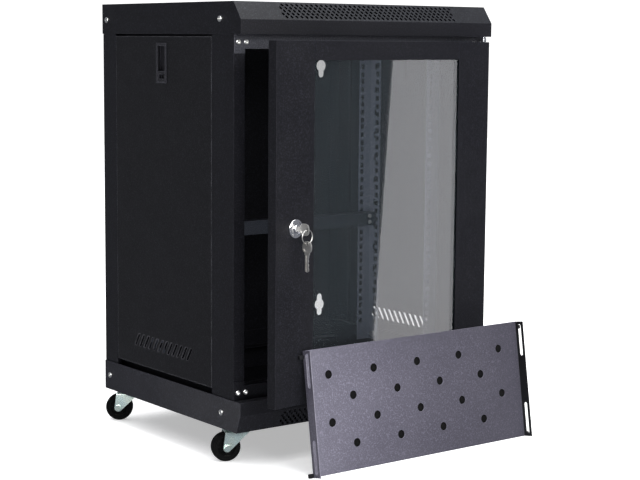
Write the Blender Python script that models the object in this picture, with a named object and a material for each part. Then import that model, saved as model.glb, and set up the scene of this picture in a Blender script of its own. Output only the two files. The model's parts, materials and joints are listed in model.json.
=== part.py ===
"""Network server rack cabinet: a 12U, 19-inch steel enclosure on four swivel casters.

Frame: metres, +Z up, the front faces -Y. The origin is the centre of the rear
panel's outer face, so the back of the cabinet lies in the plane Y = 0.
"""
import math

import bmesh
import bpy
from mathutils import Matrix, Vector

MM = 0.001

# ---------------------------------------------------------------- driving dimensions
WIDTH = 550 * MM
DEPTH = 450 * MM
HEIGHT = 714 * MM            # top cover to base tray, without the casters
CAP_HEIGHT = 53.5 * MM       # top cover, and base tray
SHEET = 1.5 * MM
GAP = 0.3 * MM               # between pieces that touch
DOOR_AJAR = math.radians(9)

LEFT, RIGHT = -WIDTH / 2, WIDTH / 2
FRONT, BACK = -DEPTH, 0.0
BOTTOM, TOP = -HEIGHT / 2, HEIGHT / 2
BODY_BOTTOM = BOTTOM + CAP_HEIGHT
BODY_TOP = TOP - CAP_HEIGHT

# Caps: the chamfer along the front edge, and the lip that carries the door pins
TOP_CHAMFER = (21.5 * MM, 29.5 * MM)
BASE_CHAMFER = (11.5 * MM, 31.0 * MM)
CAP_LIP = 19.5 * MM
CABLE_ENTRY = (220 * MM, 60 * MM)
CABLE_ENTRY_CENTRE = BACK - 80 * MM

# Frame of posts and beams
FRAME_INSET = 1.8 * MM       # posts and side panels behind the sides of the caps
POST_FRONT = FRONT + 23.3 * MM
POST_FACE = 22 * MM
POST_FLANGE = 8 * MM
FRONT_POST_END = FRONT + 88 * MM
REAR_POST_START = FRONT + 405 * MM
POST_END_CLEARANCE = 3 * MM
BEAM_REACH = BODY_TOP + 8 * MM        # outer edge of the beams, hidden inside the caps
BEAM_HEIGHT = 31.5 * MM
BEAM_PLATE_FRONT = FRONT + 21.5 * MM
CORNER_TAB = (21 * MM, 7.5 * MM)
SIDE_BEAM_X = (255.3 * MM, 264.9 * MM)
SIDE_BEAM_HEIGHT = 34.5 * MM

# Wall-hanging keyholes in the rear panel
KEYHOLE_X = 228 * MM
KEYHOLE_RADII = (12 * MM, 6.5 * MM)    # the round hole and its slots

# 19-inch rails
RACK_UNIT = 44.45 * MM
RACK_UNITS = 12
UNIT_HOLES = (6.35 * MM, 22.225 * MM, 38.1 * MM)
SQUARE_HOLE = 9.5 * MM
HOLE_COLUMN = 232.55 * MM
RAIL_INNER = 225 * MM
RAIL_OUTER = 255 * MM
RAIL_SHEET = 2 * MM
RAIL_DEPTH = 30 * MM
RAIL_HALF_HEIGHT = 298 * MM
FRONT_RAIL_Y = FRONT + 117 * MM
REAR_RAIL_Y = FRONT + 320 * MM
CROSSBAR_Z = (-67 * MM, -41 * MM)
CROSSBAR_DEPTH = 20 * MM

# Door
HINGE = Vector((RIGHT - 10 * MM, FRONT + 9.2 * MM, 0))
DOOR_LEFT, DOOR_RIGHT = LEFT + 3 * MM, RIGHT - 5 * MM
DOOR_BOTTOM, DOOR_TOP = BODY_BOTTOM + 3.5 * MM, BODY_TOP - 9.5 * MM
DOOR_FRONT, DOOR_BACK = FRONT + 0.2 * MM, FRONT + 18.2 * MM
DOOR_RETURN = 12 * MM
WINDOW_HALF_WIDTH = 185 * MM
WINDOW_MARGIN = 31.5 * MM
GLASS_OVERLAP = 15 * MM
GLASS_THICKNESS = 4 * MM
PIN_RADIUS = 3 * MM
PIN_BORE = 3.3 * MM
PIN_TRAVEL = 9 * MM

# Lock and keys
LOCK_X, LOCK_Z = LEFT + 48.3 * MM, -8 * MM
BEZEL_RADIUS = 15.5 * MM
BARREL_RADIUS = 9.5 * MM
PLUG_RADIUS = 6.5 * MM
BOW_RADIUS = 10.5 * MM
BOW_HOLE = 2.8 * MM
BOW_HOLE_OFFSET = 6 * MM
KEY_SHEET = 2 * MM
BOW_CENTRE_Y = FRONT - 20 * MM
RING_RADIUS = 11 * MM
RING_WIRE = 0.9 * MM

# Side panels
PANEL_FRONT, PANEL_REAR = FRONT + 89 * MM, FRONT + 404 * MM
PANEL_BOTTOM, PANEL_TOP = BODY_BOTTOM + 10.5 * MM, BODY_TOP - 3.5 * MM
PANEL_FOLD = 8 * MM
VENT_SLOTS = 12
VENT_PITCH = 15.8 * MM
VENT_Z = (-258 * MM, -236 * MM)
VENT_LEAN = 14 * MM
VENT_WIDTH = 6 * MM
LATCH_SIZE = (33 * MM, 69 * MM)
LATCH_CENTRE_Z = 253.5 * MM
LATCH_TRAVEL = 8 * MM

# Casters
WHEEL_RADIUS = 25 * MM
WHEEL_WIDTH = 18 * MM
CASTER_HEIGHT = 60 * MM
CASTER_TRAIL = 24 * MM
CASTER_INSET = 38 * MM
FRONT_CASTER_Y = FRONT + 58 * MM
REAR_CASTER_Y = BACK - 34 * MM
FORK_HALF_WIDTH = 13 * MM
FORK_SHEET = 2 * MM
FORK_TOP = 6.8 * MM
FORK_CROWN = (-11 * MM, 26 * MM)   # from its leading to its trailing edge

# Loose rack shelf
SHELF_WIDTH = 485 * MM
SHELF_DEPTH = 209 * MM
SHELF_FLANGE = 20 * MM
SHELF_EAR = (8 * MM, 5 * MM)
SHELF_EAR_ENDS = (1 * MM, SHELF_DEPTH - 13 * MM)
SHELF_HOLE = 7.5 * MM
SHELF_COLUMN_PITCH = 97 * MM
SHELF_ROW_PITCH = 40 * MM
SHELF_SLOT = (57 * MM, 7 * MM)
SHELF_SLOT_INSET = 5 * MM
SHELF_CORNER = Vector((LEFT + 71 * MM, FRONT - 108 * MM, BOTTOM - CASTER_HEIGHT))
SHELF_YAW = math.radians(0.5)
SHELF_LEAN = math.radians(81.4)

ROUND = 24                   # sides of a round piece
SMALL_ROUND = 12


# ---------------------------------------------------------------- materials
def make_material(name, color, roughness, metallic=0.0, alpha=1.0):
    material = bpy.data.materials.new(name)
    material.use_nodes = True
    shader = material.node_tree.nodes["Principled BSDF"]
    shader.inputs["Base Color"].default_value = (*color, 1.0)
    shader.inputs["Roughness"].default_value = roughness
    shader.inputs["Metallic"].default_value = metallic
    shader.inputs["Alpha"].default_value = alpha
    return material


def make_materials():
    return {
        "powder_coat": make_material("powder_coat", (0.015, 0.015, 0.018), 0.5),
        "shelf_coat": make_material("shelf_coat", (0.16, 0.15, 0.2), 0.55),
        "tinted_glass": make_material("tinted_glass", (0.2, 0.22, 0.24), 0.05, alpha=0.35),
        "chrome": make_material("chrome", (0.8, 0.8, 0.8), 0.15, 1.0),
        "zinc": make_material("zinc", (0.55, 0.62, 0.64), 0.35, 1.0),
        "rubber": make_material("rubber", (0.02, 0.02, 0.02), 0.8),
        "black_plastic": make_material("black_plastic", (0.02, 0.02, 0.02), 0.45),
    }


# ---------------------------------------------------------------- modelling helpers
def add_object(name, mesh, material):
    obj = bpy.data.objects.new(name, mesh)
    bpy.context.scene.collection.objects.link(obj)
    if material is not None:
        mesh.materials.append(material)
    return obj


def prism(name, outline, axis, low, high, material=None):
    """Extrude a closed outline along an axis, from low to high.

    The outline holds (y, z) points for axis "x", (x, z) for "y" and (x, y) for "z".
    """
    places = {
        "x": lambda u, v, w: (w, u, v),
        "y": lambda u, v, w: (u, w, v),
        "z": lambda u, v, w: (u, v, w),
    }
    place = places[axis]
    mesh_builder = bmesh.new()
    ends = []
    for level in (low, high):
        ends.append([mesh_builder.verts.new(place(u, v, level)) for u, v in outline])
    mesh_builder.faces.new(ends[0])
    mesh_builder.faces.new(reversed(ends[1]))
    for i, vertex in enumerate(ends[0]):
        following = ends[0][i - 1]
        mesh_builder.faces.new((vertex, following, ends[1][i - 1], ends[1][i]))
    bmesh.ops.recalc_face_normals(mesh_builder, faces=mesh_builder.faces)
    mesh = bpy.data.meshes.new(name)
    mesh_builder.to_mesh(mesh)
    mesh_builder.free()
    return add_object(name, mesh, material)


def block(name, low, high, material=None):
    outline = [(low[0], low[1]), (high[0], low[1]), (high[0], high[1]), (low[0], high[1])]
    return prism(name, outline, "z", low[2], high[2], material)


def circle(centre, radius, sides=ROUND, start=0.0, sweep=2 * math.pi):
    """Points on a circle, or on an arc when the sweep is less than a full turn."""
    full = math.isclose(sweep, 2 * math.pi)
    steps = sides if full else sides - 1
    angles = [start + sweep * i / steps for i in range(sides)]
    return [(centre[0] + radius * math.cos(a), centre[1] + radius * math.sin(a)) for a in angles]


def slot_outline(start, length, width):
    """Round-ended slot that runs along the outline's first coordinate from its start."""
    radius = width / 2
    far_end = circle((start[0] + length - radius, start[1]), radius, 7, -math.pi / 2, math.pi)
    near_end = circle((start[0] + radius, start[1]), radius, 7, math.pi / 2, math.pi)
    return far_end + near_end


def rod(name, centre, radius, axis, low, high, material=None, sides=ROUND):
    obj = prism(name, circle(centre, radius, sides), axis, low, high, material)
    shade_round(obj)
    return obj


def shade_round(obj):
    obj.data.shade_smooth()
    obj.data.set_sharp_from_angle(angle=math.radians(30))


def folded(path, thickness):
    """Outline of sheet metal bent along a path; the sheet lies to the path's left."""
    points = [Vector(p) for p in path]
    inner = []
    for i, point in enumerate(points):
        normals = []
        for a, b in ((i - 1, i), (i, i + 1)):
            if a >= 0 and b < len(points):
                edge = (points[b] - points[a]).normalized()
                normals.append(Vector((-edge.y, edge.x)))
        mitre = sum(normals, Vector((0, 0))).normalized()
        inner.append(point + mitre * thickness / mitre.dot(normals[0]))
    return [tuple(p) for p in points] + [tuple(p) for p in reversed(inner)]


def inset(outline, distance):
    """Move every edge of a counter-clockwise outline inwards."""
    closed = [Vector(p) for p in outline]
    result = []
    for i, point in enumerate(closed):
        before = (point - closed[i - 1]).normalized()
        after = (closed[(i + 1) % len(closed)] - point).normalized()
        n1, n2 = Vector((-before.y, before.x)), Vector((-after.y, after.x))
        mitre = (n1 + n2).normalized()
        result.append(tuple(point + mitre * distance / mitre.dot(n1)))
    return result


def mirrored(outline, sign):
    """Mirror an outline's first coordinate when sign is -1."""
    return [(sign * u, v) for u, v in outline]


def span(sign, near, far):
    """Sort the signed range between two distances from the middle plane."""
    return sorted((sign * near, sign * far))


def combine(target, tools, operation):
    """Apply one exact Boolean with each tool, then delete the tools."""
    for tool in tools:
        modifier = target.modifiers.new("combine", "BOOLEAN")
        modifier.solver = "EXACT"
        modifier.operation = operation
        modifier.object = tool
        graph = bpy.context.evaluated_depsgraph_get()
        mesh = bpy.data.meshes.new_from_object(target.evaluated_get(graph))
        target.modifiers.clear()
        old_mesh = target.data
        target.data = mesh
        bpy.data.meshes.remove(old_mesh)
        bpy.data.objects.remove(tool)
    return target


def cut(target, *tools):
    return combine(target, tools, "DIFFERENCE")


def unite(target, *tools):
    return combine(target, tools, "UNION")


def row_of_cutters(cutters):
    """Join separate cutters into one object, so that one Boolean makes all the holes."""
    builder = bmesh.new()
    for cutter in cutters:
        builder.from_mesh(cutter.data)
        bpy.data.objects.remove(cutter)
    mesh = bpy.data.meshes.new("cutters")
    builder.to_mesh(mesh)
    builder.free()
    return add_object("cutters", mesh, None)


class Pivot:
    """An empty on a joint's axis. Its pieces are drawn where they sit with all joints at zero."""

    def __init__(self, name, point, parent=None, turn=(0.0, 0.0, 0.0)):
        self.point = Vector(point)
        self.empty = bpy.data.objects.new(name, None)
        bpy.context.scene.collection.objects.link(self.empty)
        self.empty.rotation_euler = turn
        if parent is None:
            self.empty.location = self.point
        else:
            self.empty.parent = parent.empty
            self.empty.location = self.point - parent.point

    def carry(self, *objects):
        for obj in objects:
            obj.data.transform(Matrix.Translation(-self.point))
            obj.parent = self.empty


# ---------------------------------------------------------------- top cover and base tray
def cap(name, side, chamfer, material):
    """A folded cap, open towards the cabinet. side is +1 for the top cover, -1 for the base."""
    outer_z = side * HEIGHT / 2
    inner_z = side * (HEIGHT / 2 - CAP_HEIGHT)
    profile = [
        (FRONT, inner_z),
        (BACK, inner_z),
        (BACK, outer_z),
        (FRONT + chamfer[0], outer_z),
        (FRONT, outer_z - side * chamfer[1]),
    ]
    if side < 0:
        profile.reverse()
    shell = prism(name, profile, "x", LEFT, RIGHT, material)
    hollow = prism("hollow", inset(profile, SHEET), "x", LEFT + SHEET, RIGHT - SHEET)
    mouth = block(
        "mouth",
        (LEFT + SHEET, FRONT + CAP_LIP, inner_z - 2 * SHEET),
        (RIGHT - SHEET, BACK - SHEET, inner_z + 2 * SHEET),
    )
    pin_hole = rod(
        "pin_hole", (HINGE.x, HINGE.y), PIN_BORE, "z",
        inner_z - 2 * SHEET, inner_z + 2 * SHEET, sides=SMALL_ROUND,
    )
    entry = block(
        "entry",
        (-CABLE_ENTRY[0] / 2, CABLE_ENTRY_CENTRE - CABLE_ENTRY[1] / 2, outer_z - 2 * SHEET),
        (CABLE_ENTRY[0] / 2, CABLE_ENTRY_CENTRE + CABLE_ENTRY[1] / 2, outer_z + 2 * SHEET),
    )
    return cut(shell, hollow, mouth, pin_hole, entry)


def cable_cover(name, side, material):
    """Blanking plate screwed inside the cap, behind its cable entry."""
    margin = 10 * MM
    face = side * (HEIGHT / 2 - SHEET - GAP)
    low, high = sorted((face, face - side * SHEET))
    return block(
        name,
        (-CABLE_ENTRY[0] / 2 - margin, CABLE_ENTRY_CENTRE - CABLE_ENTRY[1] / 2 - margin, low),
        (CABLE_ENTRY[0] / 2 + margin, CABLE_ENTRY_CENTRE + CABLE_ENTRY[1] / 2 + margin, high),
        material,
    )


# ---------------------------------------------------------------- frame
def post(name, side, is_front, material):
    outer = WIDTH / 2 - FRAME_INSET
    if is_front:
        face, end = POST_FRONT, FRONT_POST_END
        path = [(outer - POST_FACE, face), (outer, face), (outer, end), (outer - POST_FLANGE, end)]
    else:
        face, end = BACK - SHEET - GAP, REAR_POST_START
        path = [(outer - POST_FLANGE, end), (outer, end), (outer, face), (outer - POST_FACE, face)]
    outline = mirrored(folded(path, SHEET), side)
    reach = HEIGHT / 2 - POST_END_CLEARANCE
    return prism(name, outline, "z", -reach, reach, material)


def front_beam(name, side, material):
    """Front cross beam with a corner tab at each end, screwed to the front posts."""
    outer_z = side * BEAM_REACH
    inner_z = outer_z - side * BEAM_HEIGHT
    tab_z = inner_z - side * CORNER_TAB[1]
    half = WIDTH / 2 - FRAME_INSET
    tab = half - CORNER_TAB[0]
    outline = [
        (-half, outer_z), (-half, tab_z), (-tab, tab_z), (-tab, inner_z),
        (tab, inner_z), (tab, tab_z), (half, tab_z), (half, outer_z),
    ]
    plate = prism(name, outline, "y", BEAM_PLATE_FRONT, BEAM_PLATE_FRONT + SHEET, material)
    flange_half = half - POST_FACE - GAP
    low, high = sorted((outer_z, outer_z - side * SHEET))
    flange = block(
        "flange",
        (-flange_half, BEAM_PLATE_FRONT + SHEET / 2, low),
        (flange_half, FRONT + 50 * MM, high),
    )
    return unite(plate, flange)


def rear_beam(name, side, material):
    outer_z = side * BEAM_REACH
    inner_z = outer_z - side * BEAM_HEIGHT
    face = BACK - 2 * SHEET - 2 * GAP
    path = [(face - 25 * MM, outer_z), (face, outer_z), (face, inner_z)]
    if side < 0:
        path.reverse()
    outline = folded(path[::-1], SHEET)
    half = SIDE_BEAM_X[0] - GAP
    return prism(name, outline, "x", -half, half, material)


def side_beam(name, side, level, material):
    """Channel along one side that the rails bolt to. level is +1 at the top, -1 at the bottom."""
    outer_z = level * BEAM_REACH
    inner_z = outer_z - level * SIDE_BEAM_HEIGHT
    low, high = sorted((outer_z, inner_z))
    near, far = SIDE_BEAM_X
    path = [(far, low), (near, low), (near, high), (far, high)]
    outline = mirrored(folded(path[::-1], SHEET), side)
    start = POST_FRONT + SHEET + GAP
    end = BACK - 2 * SHEET - 2 * GAP
    return prism(name, outline, "y", start, end, material)


def keyhole(x, z, slots):
    """Cutters for one wall-hanging keyhole: a round hole and the ends of its slots."""
    low, high = BACK - 3 * SHEET, BACK + SHEET
    hole_radius, slot_radius = KEYHOLE_RADII
    hole = rod("hole", (x, z), hole_radius, "y", low, high, sides=SMALL_ROUND)
    for end in slots:
        bottom, top = sorted((z, z + end))
        reach = block("slot", (x - slot_radius, low, bottom), (x + slot_radius, high, top))
        tip = rod("tip", (x, z + end), slot_radius, "y", low, high, sides=SMALL_ROUND)
        unite(hole, reach, tip)
    return hole


def rear_panel(material):
    half = WIDTH / 2 - FRAME_INSET
    reach = HEIGHT / 2 - CAP_HEIGHT - GAP
    panel = block("rear_panel", (-half, BACK - SHEET, -reach), (half, BACK, reach), material)
    holes = []
    for x in (-KEYHOLE_X, KEYHOLE_X):
        holes.append(keyhole(x, 244 * MM, (-17 * MM,)))
        holes.append(keyhole(x, -245 * MM, (-16 * MM, 16 * MM)))
    return cut(panel, row_of_cutters(holes))


# ---------------------------------------------------------------- rails
def unit_hole_heights():
    start = -RACK_UNITS * RACK_UNIT / 2
    return [start + unit * RACK_UNIT + hole for unit in range(RACK_UNITS) for hole in UNIT_HOLES]


def rail(name, side, is_front, material):
    """L-shaped rail with the square-hole pattern of a 19-inch rack in its face."""
    if is_front:
        face, end = FRONT_RAIL_Y, FRONT_RAIL_Y + RAIL_DEPTH
        path = [(RAIL_INNER, face), (RAIL_OUTER, face), (RAIL_OUTER, end)]
    else:
        face, end = REAR_RAIL_Y, REAR_RAIL_Y - RAIL_DEPTH
        path = [(RAIL_OUTER, end), (RAIL_OUTER, face), (RAIL_INNER, face)]
    outline = mirrored(folded(path, RAIL_SHEET), side)
    body = prism(name, outline, "z", -RAIL_HALF_HEIGHT, RAIL_HALF_HEIGHT, material)
    half = SQUARE_HOLE / 2
    column = side * HOLE_COLUMN
    cutters = []
    for z in unit_hole_heights():
        cutters.append(block(
            "hole",
            (column - half, face - 2 * RAIL_SHEET, z - half),
            (column + half, face + 2 * RAIL_SHEET, z + half),
        ))
    middle = (face + end) / 2
    near, far = span(side, RAIL_OUTER - 2 * RAIL_SHEET, RAIL_OUTER + RAIL_SHEET)
    for unit in range(RACK_UNITS):
        z = (unit + 0.5 - RACK_UNITS / 2) * RACK_UNIT
        cutters.append(block(
            "slot",
            (near, middle - 3.5 * MM, z - 6 * MM),
            (far, middle + 3.5 * MM, z + 6 * MM),
        ))
    return cut(body, row_of_cutters(cutters))


def crossbar(material):
    """Channel that braces the two rear rails."""
    back = REAR_RAIL_Y - RAIL_SHEET - GAP
    start = back - CROSSBAR_DEPTH
    low, high = CROSSBAR_Z
    path = [(back, low), (start, low), (start, high), (back, high)]
    outline = folded(path[::-1], SHEET)
    half = RAIL_OUTER - RAIL_SHEET - GAP
    return prism("rear_crossbar", outline, "x", -half, half, material)


# ---------------------------------------------------------------- door
def window_box(name, margin, y_low, y_high, material=None):
    """A block the size of the window, grown by a margin on every side."""
    low = (-WINDOW_HALF_WIDTH - margin, y_low, DOOR_BOTTOM + WINDOW_MARGIN - margin)
    high = (WINDOW_HALF_WIDTH + margin, y_high, DOOR_TOP - WINDOW_MARGIN + margin)
    return block(name, low, high, material)


def door_frame(material):
    shell = block(
        "door_frame",
        (DOOR_LEFT, DOOR_FRONT, DOOR_BOTTOM), (DOOR_RIGHT, DOOR_BACK, DOOR_TOP), material,
    )
    hollow = block(
        "hollow",
        (DOOR_LEFT + SHEET, DOOR_FRONT + SHEET, DOOR_BOTTOM + SHEET),
        (DOOR_RIGHT - SHEET, DOOR_BACK - SHEET, DOOR_TOP - SHEET),
    )
    mouth = block(
        "mouth",
        (DOOR_LEFT + DOOR_RETURN, DOOR_BACK - 2 * SHEET, DOOR_BOTTOM + DOOR_RETURN),
        (DOOR_RIGHT - DOOR_RETURN, DOOR_BACK + SHEET, DOOR_TOP - DOOR_RETURN),
    )
    window = window_box("window", 0, DOOR_FRONT - SHEET, DOOR_FRONT + 2 * SHEET)
    lock_hole = rod(
        "lock_hole", (LOCK_X, LOCK_Z), BARREL_RADIUS + GAP, "y",
        DOOR_FRONT - SHEET, DOOR_FRONT + 2 * SHEET,
    )
    pins = rod(
        "pins", (HINGE.x, HINGE.y), PIN_BORE, "z",
        DOOR_BOTTOM - SHEET, DOOR_TOP + SHEET, sides=SMALL_ROUND,
    )
    return cut(shell, hollow, mouth, window, lock_hole, pins)


def glass_parts(materials):
    """Gasket, pane and steel retainer, stacked behind the front sheet."""
    gasket_front = DOOR_FRONT + SHEET + GAP
    gasket_back = gasket_front + 0.8 * MM
    glass_front = gasket_back + GAP
    glass_back = glass_front + GLASS_THICKNESS
    retainer_front = glass_back + GAP
    gasket = window_box("glass_gasket", 13 * MM, gasket_front, gasket_back, materials["rubber"])
    cut(gasket, window_box("inner", 2 * MM, gasket_front - SHEET, gasket_back + SHEET))
    glass = window_box(
        "door_glass", GLASS_OVERLAP, glass_front, glass_back, materials["tinted_glass"],
    )
    retainer = window_box(
        "glass_retainer", 17 * MM, retainer_front, retainer_front + SHEET,
        materials["powder_coat"],
    )
    cut(retainer, window_box("inner", 1 * MM, retainer_front - SHEET, retainer_front + 2 * SHEET))
    return gasket, glass, retainer


def hinge_parts(materials):
    """Spring pin at the top with its bracket and spacer, and the fixed pin at the bottom."""
    axis = (HINGE.x, HINGE.y)
    pin_top = BODY_TOP + 6 * MM
    bracket_top = DOOR_TOP - SHEET - GAP
    bracket_bottom = bracket_top - 24 * MM
    pin_bottom = bracket_bottom - 14 * MM
    pin = rod("top_hinge_pin", axis, PIN_RADIUS, "z", pin_bottom, pin_top, materials["zinc"], SMALL_ROUND)
    handle = rod(
        "handle", (HINGE.y, pin_bottom + 2 * MM), 1.6 * MM, "x",
        HINGE.x - 14 * MM, HINGE.x, sides=SMALL_ROUND,
    )
    unite(pin, handle)
    spacer = rod(
        "hinge_spacer", axis, 4.6 * MM, "z",
        DOOR_TOP + GAP, BODY_TOP - GAP, materials["chrome"], SMALL_ROUND,
    )
    cut(spacer, rod("bore", axis, PIN_BORE, "z", DOOR_TOP - SHEET, BODY_TOP + SHEET, sides=SMALL_ROUND))
    bracket = block(
        "hinge_bracket",
        (HINGE.x - 13 * MM, DOOR_FRONT + SHEET + GAP, bracket_bottom),
        (DOOR_RIGHT - SHEET - GAP, DOOR_BACK - SHEET - GAP, bracket_top),
        materials["zinc"],
    )
    cut(bracket, rod(
        "bore", axis, PIN_BORE, "z", bracket_bottom - SHEET, bracket_top + SHEET, sides=SMALL_ROUND,
    ))
    bottom_pin = rod(
        "bottom_hinge_pin", axis, PIN_RADIUS, "z",
        BODY_BOTTOM - 5 * MM, DOOR_BOTTOM + 16 * MM, materials["zinc"], SMALL_ROUND,
    )
    return pin, spacer, bracket, bottom_pin


def lock_housing(material):
    """Round bezel in front of the door sheet and the barrel behind it, bored for the plug."""
    axis = (LOCK_X, LOCK_Z)
    bezel_front = DOOR_FRONT - 3 * MM
    housing = rod("lock_housing", axis, BEZEL_RADIUS, "y", bezel_front, DOOR_FRONT - GAP, material)
    barrel_back = DOOR_BACK + 2 * MM
    unite(housing, rod("barrel", axis, BARREL_RADIUS, "y", DOOR_FRONT - 1 * MM, barrel_back))
    bore = rod("bore", axis, PLUG_RADIUS + GAP, "y", bezel_front - SHEET, barrel_back + SHEET)
    cut(housing, bore)
    shade_round(housing)
    return housing


def lock_parts(materials):
    axis = (LOCK_X, LOCK_Z)
    plug_front = DOOR_FRONT - 4.5 * MM
    cam_front = FRONT + 25.3 * MM
    cam_back = cam_front + 2 * MM
    plug = rod("lock_plug", axis, PLUG_RADIUS, "y", plug_front, cam_front - GAP, materials["chrome"])
    keyway = block(
        "keyway",
        (LOCK_X - 1.3 * MM, plug_front - SHEET, LOCK_Z - 4.3 * MM),
        (LOCK_X + 1.3 * MM, plug_front + 14 * MM, LOCK_Z + 4.3 * MM),
    )
    cut(plug, keyway)
    shade_round(plug)
    half = 7 * MM
    reach = 36 * MM
    top_end = circle(axis, half, SMALL_ROUND, 0.0, math.pi)
    tip = [(LOCK_X - half, LOCK_Z - reach), (LOCK_X + half, LOCK_Z - reach)]
    cam = prism("lock_cam", top_end + tip, "y", cam_front, cam_back, materials["zinc"])
    return plug, cam


def key(name, bow_centre, along, shank_length, material):
    """Flat key in the plane of Y and Z. along is the direction from bow to tip."""
    direction = Vector(along)
    across = Vector((-direction.y, direction.x))
    low, high = LOCK_X - KEY_SHEET / 2, LOCK_X + KEY_SHEET / 2
    centre = Vector(bow_centre)
    bow = rod(name, bow_centre, BOW_RADIUS, "x", low, high, material)
    shank_half = 4 * MM
    start = centre + direction * (BOW_RADIUS - 3 * MM)
    end = centre + direction * (BOW_RADIUS + shank_length)
    shoulder = end - direction * 4 * MM
    outline = [
        tuple(start + across * shank_half),
        tuple(start - across * shank_half),
        tuple(shoulder - across * shank_half),
        tuple(end),
        tuple(shoulder + across * shank_half),
    ]
    unite(bow, prism("shank", outline, "x", low, high))
    hole = tuple(centre - direction * BOW_HOLE_OFFSET)
    cut(bow, rod("hole", hole, BOW_HOLE, "x", low - SHEET, high + SHEET, sides=SMALL_ROUND))
    shade_round(bow)
    return bow


def key_ring(centre, material):
    """Wire ring in the plane of X and Z."""
    builder = bmesh.new()
    sides = 6
    rings = []
    for i in range(ROUND):
        turn = 2 * math.pi * i / ROUND
        ring = []
        for j in range(sides):
            around = 2 * math.pi * j / sides
            radius = RING_RADIUS + RING_WIRE * math.cos(around)
            point = Vector((radius * math.sin(turn), RING_WIRE * math.sin(around), radius * math.cos(turn)))
            ring.append(builder.verts.new(Vector(centre) + point))
        rings.append(ring)
    for i in range(ROUND):
        here, there = rings[i - 1], rings[i]
        for j in range(sides):
            builder.faces.new((here[j - 1], here[j], there[j], there[j - 1]))
    bmesh.ops.recalc_face_normals(builder, faces=builder.faces)
    mesh = bpy.data.meshes.new("key_ring")
    builder.to_mesh(mesh)
    builder.free()
    ring = add_object("key_ring", mesh, material)
    shade_round(ring)
    return ring


# ---------------------------------------------------------------- side panels
def side_panel(name, side, material):
    """Tray-shaped panel with a row of slanted vent slots and a latch opening."""
    outer = WIDTH / 2 - FRAME_INSET
    near, far = span(side, outer - PANEL_FOLD, outer)
    panel = block(name, (near, PANEL_FRONT, PANEL_BOTTOM), (far, PANEL_REAR, PANEL_TOP), material)
    near, far = span(side, outer - 2 * PANEL_FOLD, outer - SHEET)
    hollow = block(
        "hollow",
        (near, PANEL_FRONT + SHEET, PANEL_BOTTOM + SHEET),
        (far, PANEL_REAR - SHEET, PANEL_TOP - SHEET),
    )
    middle = (PANEL_FRONT + PANEL_REAR) / 2
    near, far = span(side, outer - 2 * SHEET, outer + SHEET)
    cutters = []
    for i in range(VENT_SLOTS):
        y = middle + (i - (VENT_SLOTS - 1) / 2) * VENT_PITCH
        lean = side * VENT_LEAN / 2
        low_y, high_y = y - lean, y + lean
        half = VENT_WIDTH / 2
        outline = [
            (low_y - half, VENT_Z[0]), (low_y + half, VENT_Z[0]),
            (high_y + half, VENT_Z[1]), (high_y - half, VENT_Z[1]),
        ]
        cutters.append(prism("vent", outline, "x", near, far))
    latch_half = LATCH_SIZE[0] / 2 - 2 * MM
    latch_reach = LATCH_SIZE[1] / 2 - 2 * MM
    cutters.append(block(
        "latch_opening",
        (near, middle - latch_half, LATCH_CENTRE_Z - latch_reach),
        (far, middle + latch_half, LATCH_CENTRE_Z + latch_reach),
    ))
    return cut(panel, hollow, row_of_cutters(cutters))


def latch(prefix, side, materials):
    """Moulded latch housing with a finger pocket, and the thumb slide below the pocket."""
    outer = WIDTH / 2 - FRAME_INSET
    middle = (PANEL_FRONT + PANEL_REAR) / 2
    half, reach = LATCH_SIZE[0] / 2, LATCH_SIZE[1] / 2
    plastic = materials["black_plastic"]

    def box(name, near, far, y_half, z_low, z_high, material=None):
        low, high = span(side, near, far)
        return block(
            name,
            (low, middle - y_half, LATCH_CENTRE_Z + z_low),
            (high, middle + y_half, LATCH_CENTRE_Z + z_high), material,
        )

    flange_out, flange_in = outer + GAP + 1.2 * MM, outer + GAP
    tub_back = outer - 7.9 * MM
    housing = box(prefix + "_latch_housing", flange_in, flange_out, half, -reach, reach, plastic)
    wall = 2.3 * MM
    unite(housing, box("tub", tub_back, flange_in + 0.6 * MM, half - wall, wall - reach, reach - wall))
    pocket_wall = 4.3 * MM
    cut(housing, box(
        "pocket", tub_back + 2 * MM, flange_out + SHEET,
        half - pocket_wall, 2 * MM - reach, reach - pocket_wall,
    ))
    slide_low = 2.3 * MM - reach
    slide_high = slide_low + 18 * MM
    slide = box(
        prefix + "_latch_slide", tub_back + 2.3 * MM, outer + 0.5 * MM,
        half - pocket_wall - GAP, slide_low, slide_high, plastic,
    )
    scoop = box("scoop", outer - 5 * MM, outer + 1 * MM, half - 8 * MM, slide_low + 5 * MM, slide_high - 5 * MM)
    cut(slide, scoop)
    return housing, slide


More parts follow.
